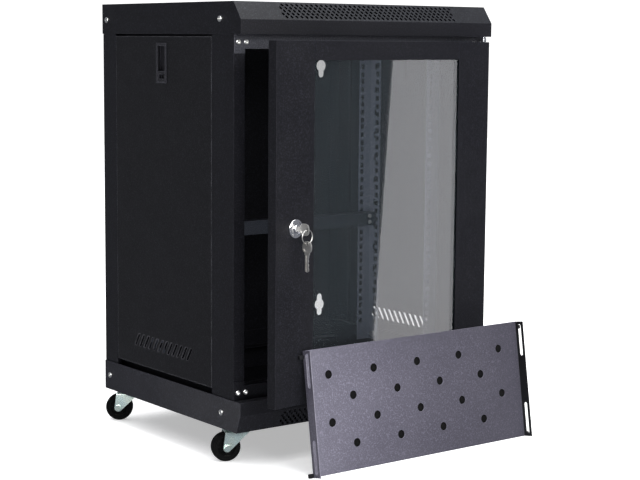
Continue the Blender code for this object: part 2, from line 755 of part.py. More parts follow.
# ---------------------------------------------------------------- casters
def caster(prefix, x, y, heading, materials):
    """Plate on the base tray, swivelling fork with its axle bolt, and the wheel.

    The fork is drawn trailing along +X and then turned to its heading.
    """
    zinc = materials["zinc"]
    plate_half = 22 * MM
    plate_top = BOTTOM - GAP
    plate = block(
        prefix + "_caster_plate",
        (x - plate_half, y - plate_half, plate_top - 2.5 * MM),
        (x + plate_half, y + plate_half, plate_top), zinc,
    )
    swivel = Pivot(prefix + "_swivel_axis", (x, y, BOTTOM), turn=(0, 0, heading))
    axle = (x + CASTER_TRAIL, BOTTOM - CASTER_HEIGHT + WHEEL_RADIUS)
    crown_z = BOTTOM - FORK_TOP
    fork = rod(
        prefix + "_caster_fork", (x, y), 15 * MM, "z",
        crown_z - FORK_SHEET / 2, plate_top - 2.5 * MM - GAP, zinc,
    )
    crown_start, crown_end = x + FORK_CROWN[0], x + FORK_CROWN[1]
    crown = block(
        "crown",
        (crown_start, y - FORK_HALF_WIDTH, crown_z - FORK_SHEET),
        (crown_end, y + FORK_HALF_WIDTH, crown_z),
    )
    unite(fork, crown)
    cheek = circle(axle, 7 * MM, SMALL_ROUND, -0.8 * math.pi, 0.85 * math.pi)
    outline = [(crown_start, crown_z)] + cheek + [(crown_end, crown_z)]
    for sign in (-1, 1):
        low, high = sorted((
            y + sign * (FORK_HALF_WIDTH - FORK_SHEET), y + sign * FORK_HALF_WIDTH,
        ))
        unite(fork, prism("cheek", outline, "y", low, high))
    bolt_bore = 3.3 * MM
    fork_far = FORK_HALF_WIDTH + FORK_SHEET
    cut(fork, rod("bore", axle, bolt_bore, "y", y - fork_far, y + fork_far, sides=SMALL_ROUND))
    bolt = rod(
        prefix + "_axle_bolt", axle, 3 * MM, "y",
        y - FORK_HALF_WIDTH - 4 * MM, y + FORK_HALF_WIDTH + GAP, zinc, SMALL_ROUND,
    )
    head = rod(
        "head", axle, 5 * MM, "y",
        y + FORK_HALF_WIDTH + GAP, y + FORK_HALF_WIDTH + 3.5 * MM, sides=6,
    )
    unite(bolt, head)
    wheel_half = WHEEL_WIDTH / 2
    wheel = rod(
        prefix + "_wheel", axle, WHEEL_RADIUS, "y",
        y - wheel_half, y + wheel_half, materials["rubber"],
    )
    cut(wheel, rod("bore", axle, bolt_bore, "y", y - fork_far, y + fork_far, sides=SMALL_ROUND))
    shade_round(wheel)
    swivel.carry(fork, bolt)
    spin = Pivot(prefix + "_wheel_axis", (axle[0], y, axle[1]), parent=swivel)
    spin.carry(wheel)
    return plate


# ---------------------------------------------------------------- loose rack shelf
def rack_shelf(material):
    """Perforated tray, drawn flat with its folded sides up, lower edge along local X."""
    tray = block("rack_shelf", (0, 0, 0), (SHELF_WIDTH, SHELF_DEPTH, SHEET), material)
    ear_reach, ear_height = SHELF_EAR
    for x, ear in ((0, -ear_reach), (SHELF_WIDTH - SHEET, SHELF_WIDTH - SHEET)):
        unite(tray, block("side", (x, 0, SHEET / 2), (x + SHEET, SHELF_DEPTH, SHELF_FLANGE)))
        for y in SHELF_EAR_ENDS:
            unite(tray, block("ear", (ear, y, 0), (ear + ear_reach + SHEET, y + ear_height, SHEET)))
    cutters = []
    for row in range(4):
        count = 5 - row % 2
        y = SHELF_DEPTH / 2 + (1.5 - row) * SHELF_ROW_PITCH
        for column in range(count):
            x = SHELF_WIDTH / 2 + (column - (count - 1) / 2) * SHELF_COLUMN_PITCH
            cutters.append(rod("hole", (x, y), SHELF_HOLE, "z", -SHEET, 2 * SHEET, sides=SMALL_ROUND))
    slot_z = (SHELF_FLANGE + SHEET) / 2
    for x in (0, SHELF_WIDTH - SHEET):
        for y in (SHELF_SLOT_INSET, SHELF_DEPTH - SHELF_SLOT_INSET - SHELF_SLOT[0]):
            outline = slot_outline((y, slot_z), *SHELF_SLOT)
            cutters.append(prism("slot", outline, "x", x - SHEET, x + 2 * SHEET))
    cut(tray, row_of_cutters(cutters))
    return tray


def place_shelf(shelf, door_pivot):
    """Stand the shelf on its lower edge in front of the door that it leans on."""
    lean = Matrix.Rotation(SHELF_LEAN, 4, "X")
    yaw = Matrix.Rotation(SHELF_YAW, 4, "Z")
    shelf.data.transform(Matrix.Translation(SHELF_CORNER) @ yaw @ lean)
    ajar = Matrix.Rotation(DOOR_AJAR, 4, "Z")
    around_hinge = Matrix.Translation(door_pivot.point) @ ajar @ Matrix.Translation(-door_pivot.point)
    shelf.data.transform(around_hinge.inverted())
    door_pivot.carry(shelf)


# ---------------------------------------------------------------- assembly
def build_frame(materials):
    coat = materials["powder_coat"]
    cap("top_cover", 1, TOP_CHAMFER, coat)
    cap("base_tray", -1, BASE_CHAMFER, coat)
    cable_cover("top_cable_cover", 1, coat)
    cable_cover("bottom_cable_cover", -1, coat)
    for side, side_name in ((-1, "left"), (1, "right")):
        for is_front, depth_name in ((True, "front"), (False, "rear")):
            post(f"{depth_name}_{side_name}_post", side, is_front, coat)
            rail(f"{depth_name}_{side_name}_rail", side, is_front, coat)
        side_beam(f"top_{side_name}_beam", side, 1, coat)
        side_beam(f"bottom_{side_name}_beam", side, -1, coat)
    for level, level_name in ((1, "top"), (-1, "bottom")):
        front_beam(f"{level_name}_front_beam", level, coat)
        rear_beam(f"{level_name}_rear_beam", level, coat)
    rear_panel(coat)
    crossbar(coat)


def build_door(materials):
    hinge = Pivot("door_hinge_axis", HINGE, turn=(0, 0, DOOR_AJAR))
    hinge.carry(door_frame(materials["powder_coat"]), *glass_parts(materials))
    pin, spacer, bracket, bottom_pin = hinge_parts(materials)
    hinge.carry(spacer, bracket, bottom_pin, lock_housing(materials["chrome"]))
    pin_slide = Pivot("top_pin_axis", HINGE, parent=hinge)
    pin_slide.carry(pin)
    plug, cam = lock_parts(materials)
    inserted_key = key(
        "key", (BOW_CENTRE_Y, LOCK_Z), (1, 0), 18 * MM, materials["chrome"],
    )
    lock = Pivot("lock_axis", (LOCK_X, DOOR_FRONT, LOCK_Z), parent=hinge)
    lock.carry(plug, cam, inserted_key)
    ring_point = Vector((LOCK_X, BOW_CENTRE_Y - BOW_HOLE_OFFSET, LOCK_Z))
    ring_pivot = Pivot("key_ring_axis", ring_point, parent=lock)
    ring_pivot.carry(key_ring(ring_point - Vector((0, 0, RING_RADIUS)), materials["zinc"]))
    bow_centre = (ring_point.y, ring_point.z - 2 * RING_RADIUS - BOW_HOLE_OFFSET)
    spare_key = key("spare_key", bow_centre, (0, -1), 30 * MM, materials["chrome"])
    ring_centre = ring_point - Vector((0, 0, RING_RADIUS))
    spare_pivot = Pivot("spare_key_axis", ring_centre, parent=ring_pivot)
    spare_pivot.carry(spare_key)
    place_shelf(rack_shelf(materials["shelf_coat"]), hinge)


def build_sides(materials):
    for side, side_name in ((-1, "left"), (1, "right")):
        outer = side * (WIDTH / 2 - FRAME_INSET)
        middle = (PANEL_FRONT + PANEL_REAR) / 2
        tilt = Pivot(f"{side_name}_panel_axis", (outer, middle, PANEL_BOTTOM))
        housing, slide = latch(side_name, side, materials)
        tilt.carry(side_panel(f"{side_name}_side_panel", side, materials["powder_coat"]), housing)
        latch_slide = Pivot(f"{side_name}_latch_axis", (outer, middle, LATCH_CENTRE_Z), parent=tilt)
        latch_slide.carry(slide)


def build_casters(materials):
    front_heading = math.radians(158)
    rear_heading = math.radians(139)
    inset_x = WIDTH / 2 - CASTER_INSET
    caster("front_left", -inset_x, FRONT_CASTER_Y, front_heading, materials)
    caster("front_right", inset_x, FRONT_CASTER_Y, math.pi - front_heading, materials)
    caster("rear_left", -inset_x, REAR_CASTER_Y, rear_heading, materials)
    caster("rear_right", inset_x, REAR_CASTER_Y, math.pi - rear_heading, materials)


def main():
    for obj in list(bpy.data.objects):
        bpy.data.objects.remove(obj)
    materials = make_materials()
    build_frame(materials)
    build_door(materials)
    build_sides(materials)
    build_casters(materials)


main()
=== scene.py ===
"""Looks of a compact network cabinet: finishes, detailed hardware, studio light and camera.

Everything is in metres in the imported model's frame: +Z up, the glazed door faces -Y.
"""
import json
import math

import bmesh
import bpy
from mathutils import Matrix, Vector


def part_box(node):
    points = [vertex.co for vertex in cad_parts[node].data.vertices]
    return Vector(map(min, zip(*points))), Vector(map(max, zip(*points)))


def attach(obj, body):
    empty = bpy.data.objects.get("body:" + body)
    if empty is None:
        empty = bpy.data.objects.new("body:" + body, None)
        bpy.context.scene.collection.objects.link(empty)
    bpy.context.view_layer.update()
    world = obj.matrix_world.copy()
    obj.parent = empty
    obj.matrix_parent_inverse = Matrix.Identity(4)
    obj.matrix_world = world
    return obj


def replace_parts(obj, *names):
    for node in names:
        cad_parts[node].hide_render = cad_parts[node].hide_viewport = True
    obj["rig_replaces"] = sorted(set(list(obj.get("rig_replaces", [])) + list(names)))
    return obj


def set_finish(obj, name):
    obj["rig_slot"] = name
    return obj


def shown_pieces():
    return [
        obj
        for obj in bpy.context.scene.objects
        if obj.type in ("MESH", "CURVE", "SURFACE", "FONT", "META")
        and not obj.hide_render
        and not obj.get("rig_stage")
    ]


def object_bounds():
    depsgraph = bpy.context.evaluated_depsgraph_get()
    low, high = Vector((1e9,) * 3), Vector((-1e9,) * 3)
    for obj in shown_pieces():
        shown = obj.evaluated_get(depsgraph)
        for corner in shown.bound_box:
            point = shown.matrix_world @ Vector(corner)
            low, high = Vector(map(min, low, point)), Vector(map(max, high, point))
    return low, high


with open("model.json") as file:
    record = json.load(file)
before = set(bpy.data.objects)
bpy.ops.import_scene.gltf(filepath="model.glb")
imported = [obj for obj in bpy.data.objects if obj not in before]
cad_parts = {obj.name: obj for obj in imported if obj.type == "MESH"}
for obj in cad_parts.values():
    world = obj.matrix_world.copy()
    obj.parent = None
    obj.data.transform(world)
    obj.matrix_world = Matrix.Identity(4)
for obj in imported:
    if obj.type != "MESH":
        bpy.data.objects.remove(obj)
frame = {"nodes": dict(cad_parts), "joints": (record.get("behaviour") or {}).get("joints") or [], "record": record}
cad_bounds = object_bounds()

MM = 0.001
NODES = frame["nodes"]
JOINTS = {joint["name"]: joint for joint in frame["joints"]}
SLOT_OF = {part["node"]: part["material_slot"] for part in frame["record"]["subparts"]}

# ---- camera
CAMERA_PLACE = Vector((-1.7366, -2.5928, 0.2919))
CAMERA_AZIMUTH = math.radians(37.17)      # turned from +Y towards +X
CAMERA_DIP = math.radians(7.07)
CAMERA_ROLL = math.radians(0.46)
CAMERA_LENS_MM = 89.8
CAMERA_SENSOR_MM = 36

# ---- driving dimensions
EDGE_ROUNDING = 0.45 * MM
DOOR_ROUNDING = 0.7 * MM
SHEET = 1.5 * MM
GASKET_OVERLAP = 13 * MM                  # how far the gasket reaches past the window's edge

VENT_COLUMNS = 37
VENT_PITCH = 10.2 * MM
VENT_ROWS = 5
VENT_SLOT = (6.9 * MM, 4.8 * MM)          # length and width of one slot
VENT_LEAN = math.radians(40)
VENT_SPREAD = 0.66                        # share of the chamfer between the outer rows

SEAM = (0.7 * MM, 0.5 * MM)               # width and depth of the door frame's seams

CAP_SCREWS = {                            # depths behind the cap's front, lift from its lip
    "top_cover": ((61 * MM, 433 * MM), 25 * MM),
    "base_tray": ((57 * MM, 431 * MM), -26 * MM),
}
BEAM_SCREWS = (7.7 * MM, 23.1 * MM)       # distances from the front beam's end
BEAM_SCREW_INSET = 18.5 * MM              # distance from the front beam's visible edge
REAR_SCREW_INSET = (11 * MM, 14 * MM)     # from the rear panel's side and end
REAR_SCREWS_PER_SIDE = 4
CROSSBAR_SCREW_INSET = 16 * MM
CROSSBAR_SCREW_LIFTS = (7 * MM, 19 * MM)
COVER_NUT_INSET = 5 * MM
RAIL_BOLT_INSET = 11 * MM
RAIL_SHEET = 2 * MM
FLANGE_HOLE = (12 * MM, 10 * MM)          # width and height of the holes in a rail's flange
FLANGE_HOLE_PITCH = 15.9 * MM
FLANGE_HOLE_INSET = 9 * MM                # from the flange's free edge to the holes' middle
PLATE_BOLT_INSET = 5.5 * MM

FORK_SHEET = 2 * MM
FORK_BEND = 3 * MM
FORK_CROWN = -6.8 * MM                    # top of the fork, below the caster's swivel point
FORK_END_RADIUS = 7 * MM

LOCK_BORE = 6.75 * MM
LOCK_BARREL = 9.5 * MM                    # radius of the barrel behind the bezel
BOW_RADIUS = 10.5 * MM                    # bow of a key
KEY_CUTS = (0.3, 1.5, 0.8, 1.9, 0.5, 1.3, 0.2)  # depths in millimetres
RING_WIRE = 0.5 * MM
HINGE_BORE = 3.3 * MM
HINGE_PIN = 3 * MM                        # radius

SHELF_EAR_REACH = 8 * MM
SHELF_CAP = (9 * MM, 7 * MM, 3.8 * MM)    # length, height and thickness of the cap on an ear
SHELF_CAP_ENDS = (3.7 * MM, 10.5 * MM)    # cap middles, from the tray's lower and upper end
SHELF_SHADE_SHEET = (-0.9 * MM, -0.2 * MM)        # back and front of the black sheet behind the tray, which paints shade into its holes

GLARE_TOP = 0.475                         # share of the window covered by the reflected card
GLARE_BOTTOM = 0.60
GLARE_DISTANCE = 2.6
GLARE_LEVEL = 6.2

WORLD_FILL = (0.165, 0.168, 0.185)
WORLD_REFLECTED = (0.17, 0.175, 0.195)
WORLD_STRENGTH = 1.25
FLOOR_GLOW = 0.43
FLOOR_SIZE = 14
FLOOR_WASH = (3.4, math.radians(100))     # strength and angle of the light on the floor alone
CABINET_MIDDLE = (0, -0.3, 0)
SOFTBOXES = {                             # place, target, size and watts
    "key_light": ((-0.1, -2.8, 1.1), CABINET_MIDDLE, (1.4, 1.4), 50),
    "top_light": ((0.2, -0.8, 2.4), CABINET_MIDDLE, (2.0, 1.4), 44),
    "low_light": ((-0.95, -0.3, -0.3), (-0.29, -0.3, -0.33), (0.8, 0.2), 5.5),
    "bay_light": ((-0.1, -0.38, 0.0), (0.24, -0.15, 0), (0.1, 0.5), 1.8),
    "metal_light": ((-1.9, -2.0, 1.1), CABINET_MIDDLE, (1.0, 1.6), 100),
}
SHELF_LIGHT = ((-0.06, 0.12, 0.3), (0.03, 0.1, 0), (0.2, 0.2), 3.2)  # the same, in the shelf's frame

# ---- finishes
GRAIN_SCALE = 420                         # powder-coat grains per metre
DUST_DARK = (0.1, 0.1, 0.105)
DUST_PALE = (0.2, 0.2, 0.21)
COATS = {                                 # colour, colour of the grains and of the edges (partly wear, partly painted highlight), dust
    "powder_coat": ((0.005, 0.005, 0.007), (0.027, 0.0275, 0.038), DUST_DARK),
    # Lighter copy of the black coat for the top cover's chamfer: painted light from above.
    "painted_light_slope_coat": ((0.012, 0.0127, 0.0155), (0.055, 0.058, 0.068), DUST_DARK),
    # Darker coat for the shelf's far flange: painted shade.
    "painted_shade_coat": ((0.004, 0.004, 0.005), (0.012, 0.012, 0.014), (0.05, 0.05, 0.05)),
    # Crossbar: a lighter blue-grey copy of the black coat, painted light.
    "painted_light_crossbar_coat": ((0.05, 0.056, 0.072), (0.11, 0.12, 0.15), DUST_PALE),
    "bright_coat": ((0.03, 0.031, 0.038), (0.12, 0.12, 0.14), DUST_PALE),
    # Rails: a lighter blue-grey copy of the black coat, painted light.
    "inner_coat": ((0.11, 0.125, 0.165), (0.24, 0.26, 0.32), DUST_PALE),
}
PLATINGS = {                              # colour, tint, roughness, scratches per metre and depth, soil
    "chrome": ((0.86, 0.86, 0.87), (0.8, 0.81, 0.84), (0.05, 0.14), 900, 0.004 * MM, 0.25),
    "nickel": ((0.78, 0.77, 0.74), (0.68, 0.66, 0.63), (0.3, 0.5), 1400, 0.012 * MM, 0.4),
    "zinc": ((0.72, 0.89, 0.86), (0.8, 0.9, 0.8), (0.22, 0.42), 700, 0.015 * MM, 0.2),
    "screw_steel": ((0.86, 0.86, 0.85), (0.78, 0.78, 0.74), (0.25, 0.4), 900, 0.01 * MM, 0.3),
}

CORNERS = ("front_left", "front_right", "rear_left", "rear_right")

FLOOR_Z = cad_bounds[0][2]


# ---- shader nodes
def feed(target, inputs):
    """Set a shader node's inputs, from values or from sockets to link."""
    for key, value in inputs.items():
        if isinstance(value, bpy.types.NodeSocket):
            target.id_data.links.new(value, target.inputs[key])
        else:
            target.inputs[key].default_value = value


def node(tree, kind, inputs=None, **settings):
    """Add a shader node with its settings and inputs."""
    made = tree.nodes.new(kind)
    for key, value in settings.items():
        setattr(made, key, value)
    feed(made, inputs or {})
    return made


def new_material(name):
    material = bpy.data.materials.new(name)
    material.use_nodes = True
    tree = material.node_tree
    shader = tree.nodes["Principled BSDF"]
    place = node(tree, "ShaderNodeTexCoord").outputs["Object"]
    return material, tree, shader, place


def noise(tree, place, scale, detail=3.0, roughness=0.55, stretch=None):
    """Fractal noise; scale is in features per metre."""
    if stretch is not None:
        mapped = node(tree, "ShaderNodeMapping", {"Vector": place, "Scale": stretch})
        place = mapped.outputs["Vector"]
    made = node(tree, "ShaderNodeTexNoise", {
        "Vector": place, "Scale": scale, "Detail": detail, "Roughness": roughness,
    })
    return made.outputs["Fac"]


def remap(tree, value, low, high, to_low=0.0, to_high=1.0):
    made = node(tree, "ShaderNodeMapRange", {
        "Value": value, "From Min": low, "From Max": high, "To Min": to_low, "To Max": to_high,
    }, clamp=True)
    return made.outputs["Result"]


def blend_color(tree, factor, first, second):
    made = node(tree, "ShaderNodeMix", data_type="RGBA")
    for socket, value in (("Factor_Float", factor), ("A_Color", first), ("B_Color", second)):
        target = next(s for s in made.inputs if s.identifier == socket)
        if isinstance(value, bpy.types.NodeSocket):
            tree.links.new(value, target)
        else:
            target.default_value = value if isinstance(value, float) else (*value, 1.0)
    return next(s for s in made.outputs if s.identifier == "Result_Color")


def multiply(tree, first, second):
    made = node(tree, "ShaderNodeMath", {0: first, 1: second}, operation="MULTIPLY")
    return made.outputs[0]


def bump(tree, height, depth, strength=1.0, under=None):
    inputs = {"Height": height, "Distance": depth, "Strength": strength}
    if under is not None:
        inputs["Normal"] = under
    return node(tree, "ShaderNodeBump", inputs).outputs["Normal"]


def edge_mask(tree, radius):
    """1 along sharp edges and 0 on flat faces, from how far a rounded normal leans."""
    rounded = node(tree, "ShaderNodeBevel", {"Radius": radius}, samples=4).outputs["Normal"]
    flat = node(tree, "ShaderNodeNewGeometry").outputs["Normal"]
    lean = node(tree, "ShaderNodeVectorMath", {0: rounded, 1: flat}, operation="DOT_PRODUCT")
    return remap(tree, lean.outputs["Value"], 0.995, 0.9)


def dust_mask(tree, place, scale):
    """Dust that settles on faces that look up, broken into patches."""
    normal = node(tree, "ShaderNodeNewGeometry").outputs["Normal"]
    parts = node(tree, "ShaderNodeSeparateXYZ", {"Vector": normal})
    facing_up = remap(tree, parts.outputs["Z"], 0.55, 1.0)
    patches = remap(tree, noise(tree, place, scale, 5.0, 0.65), 0.4, 0.75)
    return multiply(tree, facing_up, patches)


def powder_coat(
    name, color, worn_and_highlight, dusty, rough=(0.4, 0.55), grain=0.6, sheen=0.25, edge_width=0.9 * MM, edge_wear_and_highlight=None,
):
    """Fine-textured powder coat: sandy grain over a slight orange peel; its edges are lighter, partly rubbed wear
    and partly a painted highlight.
    """
    material, tree, shader, place = new_material(name)
    speckle = noise(tree, place, GRAIN_SCALE, 3.0, 0.7)
    peel = noise(tree, place, 260, 2.0)
    cloud = noise(tree, place, 7, 4.0)
    lighter = tuple(min(1.0, 1.45 * c + 0.002) for c in color)
    base = blend_color(tree, remap(tree, cloud, 0.35, 0.7, 0.0, 0.4), color, lighter)
    base = blend_color(tree, remap(tree, speckle, 0.5, 0.7, 0.0, 0.7), base, worn_and_highlight)
    # Lighter edges: partly rubbed wear, partly a painted highlight where the folds catch the light.
    edge_rub_and_highlight = remap(tree, noise(tree, place, 60), 0.38, 0.62, 0.3, 0.9)
    base = blend_color(tree, multiply(tree, edge_mask(tree, edge_width), edge_rub_and_highlight), base, edge_wear_and_highlight or worn_and_highlight)
    dust = multiply(tree, dust_mask(tree, place, 40), 0.12)
    coarse = bump(tree, peel, 0.25 * MM, 0.3)
    feed(shader, {
        "Base Color": blend_color(tree, dust, base, dusty),
        "Roughness": remap(tree, cloud, 0.3, 0.7, *rough),
        "Normal": bump(tree, speckle, 0.2 * MM, grain, coarse),
        "Specular IOR Level": sheen,
    })
    return material


def plated_metal(name, color, tint, rough, grain_scale, grain_depth, soil):
    """Plated metal: drifting tint, brushed micro-scratches and soiled patches."""
    material, tree, shader, place = new_material(name)
    drift = noise(tree, place, 55, 3.0)
    base = blend_color(tree, remap(tree, drift, 0.35, 0.65), color, tint)
    soiled = remap(tree, noise(tree, place, 180, 4.0, 0.7), 0.58, 0.8, 0.0, soil)
    scratches = noise(tree, place, grain_scale, 2.0, 0.5, stretch=(1.0, 1.0, 9.0))
    feed(shader, {
        "Base Color": blend_color(tree, soiled, base, tuple(0.35 * c for c in color)),
        "Roughness": remap(tree, scratches, 0.3, 0.7, *rough),
        "Normal": bump(tree, scratches, grain_depth, 0.5),
        "Metallic": 1.0,
    })
    return material


def moulded(name, color, scuff, rough, grain_scale, grain_depth, scuff_amount, sheen=0.3):
    """Moulded plastic or rubber: spark-eroded grain with scuffs and a little dust."""
    material, tree, shader, place = new_material(name)
    scuffs = noise(tree, place, 95, 6.0, 0.7, stretch=(1.0, 1.0, 3.5))
    base = blend_color(tree, remap(tree, scuffs, 0.5, 0.75, 0.0, scuff_amount), color, scuff)
    dust = multiply(tree, dust_mask(tree, place, 120), 0.35)
    cells = node(tree, "ShaderNodeTexVoronoi", {"Vector": place, "Scale": grain_scale})
    feed(shader, {
        "Base Color": blend_color(tree, dust, base, (0.25, 0.24, 0.22)),
        "Roughness": remap(tree, scuffs, 0.3, 0.7, *rough),
        "Normal": bump(tree, cells.outputs["Distance"], grain_depth, 0.5),
        "Specular IOR Level": sheen,
    })
    return material


def latch_plastic():
    """Black moulded plastic with a painted highlight: its edges are lighter grey."""
    name = "latch_plastic"
    material = moulded(name, (0.014, 0.014, 0.017), (0.03, 0.03, 0.033), (0.35, 0.5), 1800, 0.04 * MM, 0.3)
    tree = material.node_tree
    shader = tree.nodes["Principled BSDF"]
    under = shader.inputs["Base Color"].links[0].from_socket
    # Painted highlight: lighter grey along the latch's edges.
    feed(shader, {"Base Color": blend_color(tree, edge_mask(tree, 2 * MM), under, (0.07, 0.07, 0.085))})
    return material


def tinted_glass():
    """Grey-tinted pane with faint smears; alpha lets the inside show through."""
    material, tree, shader, place = new_material("tinted_glass")
    smears = noise(tree, place, 14, 4.0, 0.6, stretch=(1.0, 1.0, 0.35))
    specks = noise(tree, place, 420, 2.0)
    base = blend_color(tree, remap(tree, smears, 0.45, 0.8), (0.02, 0.025, 0.029), (0.028, 0.032, 0.036))
    base = blend_color(tree, remap(tree, specks, 0.68, 0.8, 0.0, 0.25), base, (0.08, 0.08, 0.08))
    feed(shader, {"Base Color": base, "Roughness": 0.0, "IOR": 1.52, "Alpha": 0.42})
    return material


def make_materials():
    materials = {name: powder_coat(name, *colors) for name, colors in COATS.items()}
    materials.update({name: plated_metal(name, *settings) for name, settings in PLATINGS.items()})
    # Side panels: a wide pale band along their edges, a painted highlight that is partly rubbed wear.
    materials["panel_coat"] = powder_coat(
        "panel_coat", (0.005, 0.005, 0.0062), (0.03, 0.03, 0.037), DUST_DARK,
        edge_width=3 * MM, edge_wear_and_highlight=(0.11, 0.11, 0.125),
    )
    # Shelf tray: its purple-grey base colour, lighter than the black coat, paints the tray's sheen.
    materials["shelf_coat"] = powder_coat(
        "shelf_coat", (0.034, 0.032, 0.044), (0.1, 0.096, 0.127), (0.18, 0.18, 0.2),
        rough=(0.42, 0.52), grain=0.5, sheen=0.5,
    )
    materials["tinted_glass"] = tinted_glass()
    materials["latch_plastic"] = latch_plastic()
    materials["rubber"] = moulded(
        "rubber", (0.003, 0.003, 0.003), (0.02, 0.019, 0.017), (0.55, 0.8), 900, 0.05 * MM, 0.4, 0.15,
    )
    materials["black_plastic"] = moulded(
        "black_plastic", (0.008, 0.008, 0.0095), (0.03, 0.03, 0.033), (0.35, 0.5), 1800, 0.04 * MM, 0.3,
    )
    return materials


# ---- mesh helpers
def add_object(name, data):
    obj = bpy.data.objects.new(name, data)
    bpy.context.scene.collection.objects.link(obj)
    return obj


def finish_mesh(name, builder, material, smooth_angle=30):
    """Turn a bmesh into an object, smooth where faces meet at less than the angle."""
    bmesh.ops.recalc_face_normals(builder, faces=builder.faces)
    mesh = bpy.data.meshes.new(name)
    builder.to_mesh(mesh)
    builder.free()
    mesh.shade_smooth()
    mesh.set_sharp_from_angle(angle=math.radians(smooth_angle))
    if material is not None:
        mesh.materials.append(material)
    return add_object(name, mesh)


def mount_piece(obj, body, slot_name, *replaced):
    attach(obj, body)
    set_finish(obj, slot_name)
    if replaced:
        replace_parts(obj, *replaced)
    return obj


def add_prism(builder, outline, low, high, place=Matrix.Identity(4)):
    """Extrude an (x, y) outline from low to high along Z, then place it."""
    ends = []
    for level in (low, high):
        ends.append([builder.verts.new(place @ Vector((x, y, level))) for x, y in outline])
    builder.faces.new(list(reversed(ends[0])))
    builder.faces.new(ends[1])
    for i in range(len(outline)):
        j = (i + 1) % len(outline)
        builder.faces.new((ends[0][i], ends[0][j], ends[1][j], ends[1][i]))


def add_lathe(builder, profile, place=Matrix.Identity(4), segments=48):
    """Revolve (radius, height) points about Z; points on the axis close the shape."""
    on_axis = 1e-7
    rings = []
    for radius, height in profile:
        spots = polygon(radius, segments) if radius > on_axis else [(0, 0)]
        rings.append([builder.verts.new(place @ Vector((x, y, height))) for x, y in spots])
    closed = profile[0][0] > on_axis
    pairs = list(zip(rings, rings[1:])) + ([(rings[-1], rings[0])] if closed else [])
    for first, second in pairs:
        for i in range(segments):
            j = (i + 1) % segments
            around = ((first, i), (first, j), (second, j), (second, i))
            corners = [ring[k % len(ring)] for ring, k in around]
            distinct = list(dict.fromkeys(corners))
            if len(distinct) > 2:
                builder.faces.new(distinct)


def turned_piece(name, profile, material=None, place=Matrix.Identity(4), segments=48, smooth_angle=30):
    """Revolve one profile and make it an object."""
    builder = bmesh.new()
    add_lathe(builder, profile, place, segments)
    return finish_mesh(name, builder, material, smooth_angle)


def polygon(radius, sides):
    """Outline of a regular polygon; many sides make a circle."""
    turns = [2 * math.pi * i / sides for i in range(sides)]
    return [(radius * math.cos(turn), radius * math.sin(turn)) for turn in turns]


def rectangle(width, height, x=0.0, y=0.0):
    """Outline of a rectangle centred on (x, y)."""
    left, right, bottom, top = x - width / 2, x + width / 2, y - height / 2, y + height / 2
    return [(left, bottom), (right, bottom), (right, top), (left, top)]


def arc(x, y, radius, start, sweep, steps):
    """Points along an arc about (x, y), from one angle over a sweep."""
    turns = [start + sweep * i / steps for i in range(steps + 1)]
    return [(x + radius * math.cos(turn), y + radius * math.sin(turn)) for turn in turns]


def stadium(length, width, lean=0.0, steps=4):
    """Outline of a round-ended slot, leaning from +Y towards -X."""
    half = (length - width) / 2
    points = arc(0, half, width / 2, 0, math.pi, steps) + arc(0, -half, width / 2, math.pi, math.pi, steps)
    turned = Matrix.Rotation(lean, 2)
    return [tuple(turned @ Vector(p)) for p in points]


def rounded_box(width, height, radius, steps=3):
    """Outline of a rounded rectangle centred on the origin."""
    points = []
    for quarter, (x_side, y_side) in enumerate(((1, 1), (-1, 1), (-1, -1), (1, -1))):
        x, y = x_side * (width / 2 - radius), y_side * (height / 2 - radius)
        points += arc(x, y, radius, quarter * math.pi / 2, math.pi / 2, steps)
    return points


def copy_of(node_name):
    """A clean bmesh of a CAD node, with its triangles merged back into flat faces."""
    builder = bmesh.new()
    builder.from_mesh(NODES[node_name].data)
    bmesh.ops.remove_doubles(builder, verts=builder.verts, dist=1e-6)
    bmesh.ops.dissolve_limit(
        builder, angle_limit=math.radians(0.5), verts=builder.verts, edges=builder.edges,
    )
    return builder


def round_edges(builder, width, segments=2, sharper_than=25):
    edges = [
        e for e in builder.edges
        if len(e.link_faces) == 2 and e.calc_face_angle(0) > math.radians(sharper_than)
    ]
    bmesh.ops.bevel(
        builder, geom=edges, offset=width, segments=segments, profile=0.5,
        affect="EDGES", clamp_overlap=True,
    )


def carve(obj, cutter_builder, operation="DIFFERENCE", flat=False):
    """Apply one exact Boolean with the cutter's mesh, then drop the cutter."""
    cutter = finish_mesh("cutter", cutter_builder, None)
    modifier = obj.modifiers.new("carve", "BOOLEAN")
    modifier.solver = "EXACT"
    modifier.operation = operation
    modifier.object = cutter
    evaluated = obj.evaluated_get(bpy.context.evaluated_depsgraph_get())
    mesh = bpy.data.meshes.new_from_object(evaluated)
    obj.modifiers.clear()
    material = obj.data.materials[0] if obj.data.materials else None
    obj.data = mesh
    mesh.materials.clear()
    mesh.materials.append(material)
    if flat:
        mesh.shade_flat()
    else:
        mesh.shade_smooth()
        mesh.set_sharp_from_angle(angle=math.radians(30))
    bpy.data.objects.remove(cutter)
    return obj


def frame_towards(origin, outward, up=Vector((0, 0, 1))):
    """Matrix whose Z axis points outward and whose Y axis points as nearly up as it can."""
    z_axis = Vector(outward).normalized()
    x_axis = Vector(up).cross(z_axis).normalized()
    y_axis = z_axis.cross(x_axis)
    turned = Matrix((x_axis, y_axis, z_axis)).transposed().to_4x4()
    return Matrix.Translation(Vector(origin)) @ turned


# ---- local frames
def door_matrix():
    """From the closed door's coordinates to the door at rest, which stands ajar."""
    joint = JOINTS["door_hinge"]
    ajar = Matrix.Rotation(math.radians(-joint["range_deg"][0]), 4, "Z")
    hinge = Vector(joint["pos_m"])
    return Matrix.Translation(hinge) @ ajar @ Matrix.Translation(-hinge)


DOOR = door_matrix()


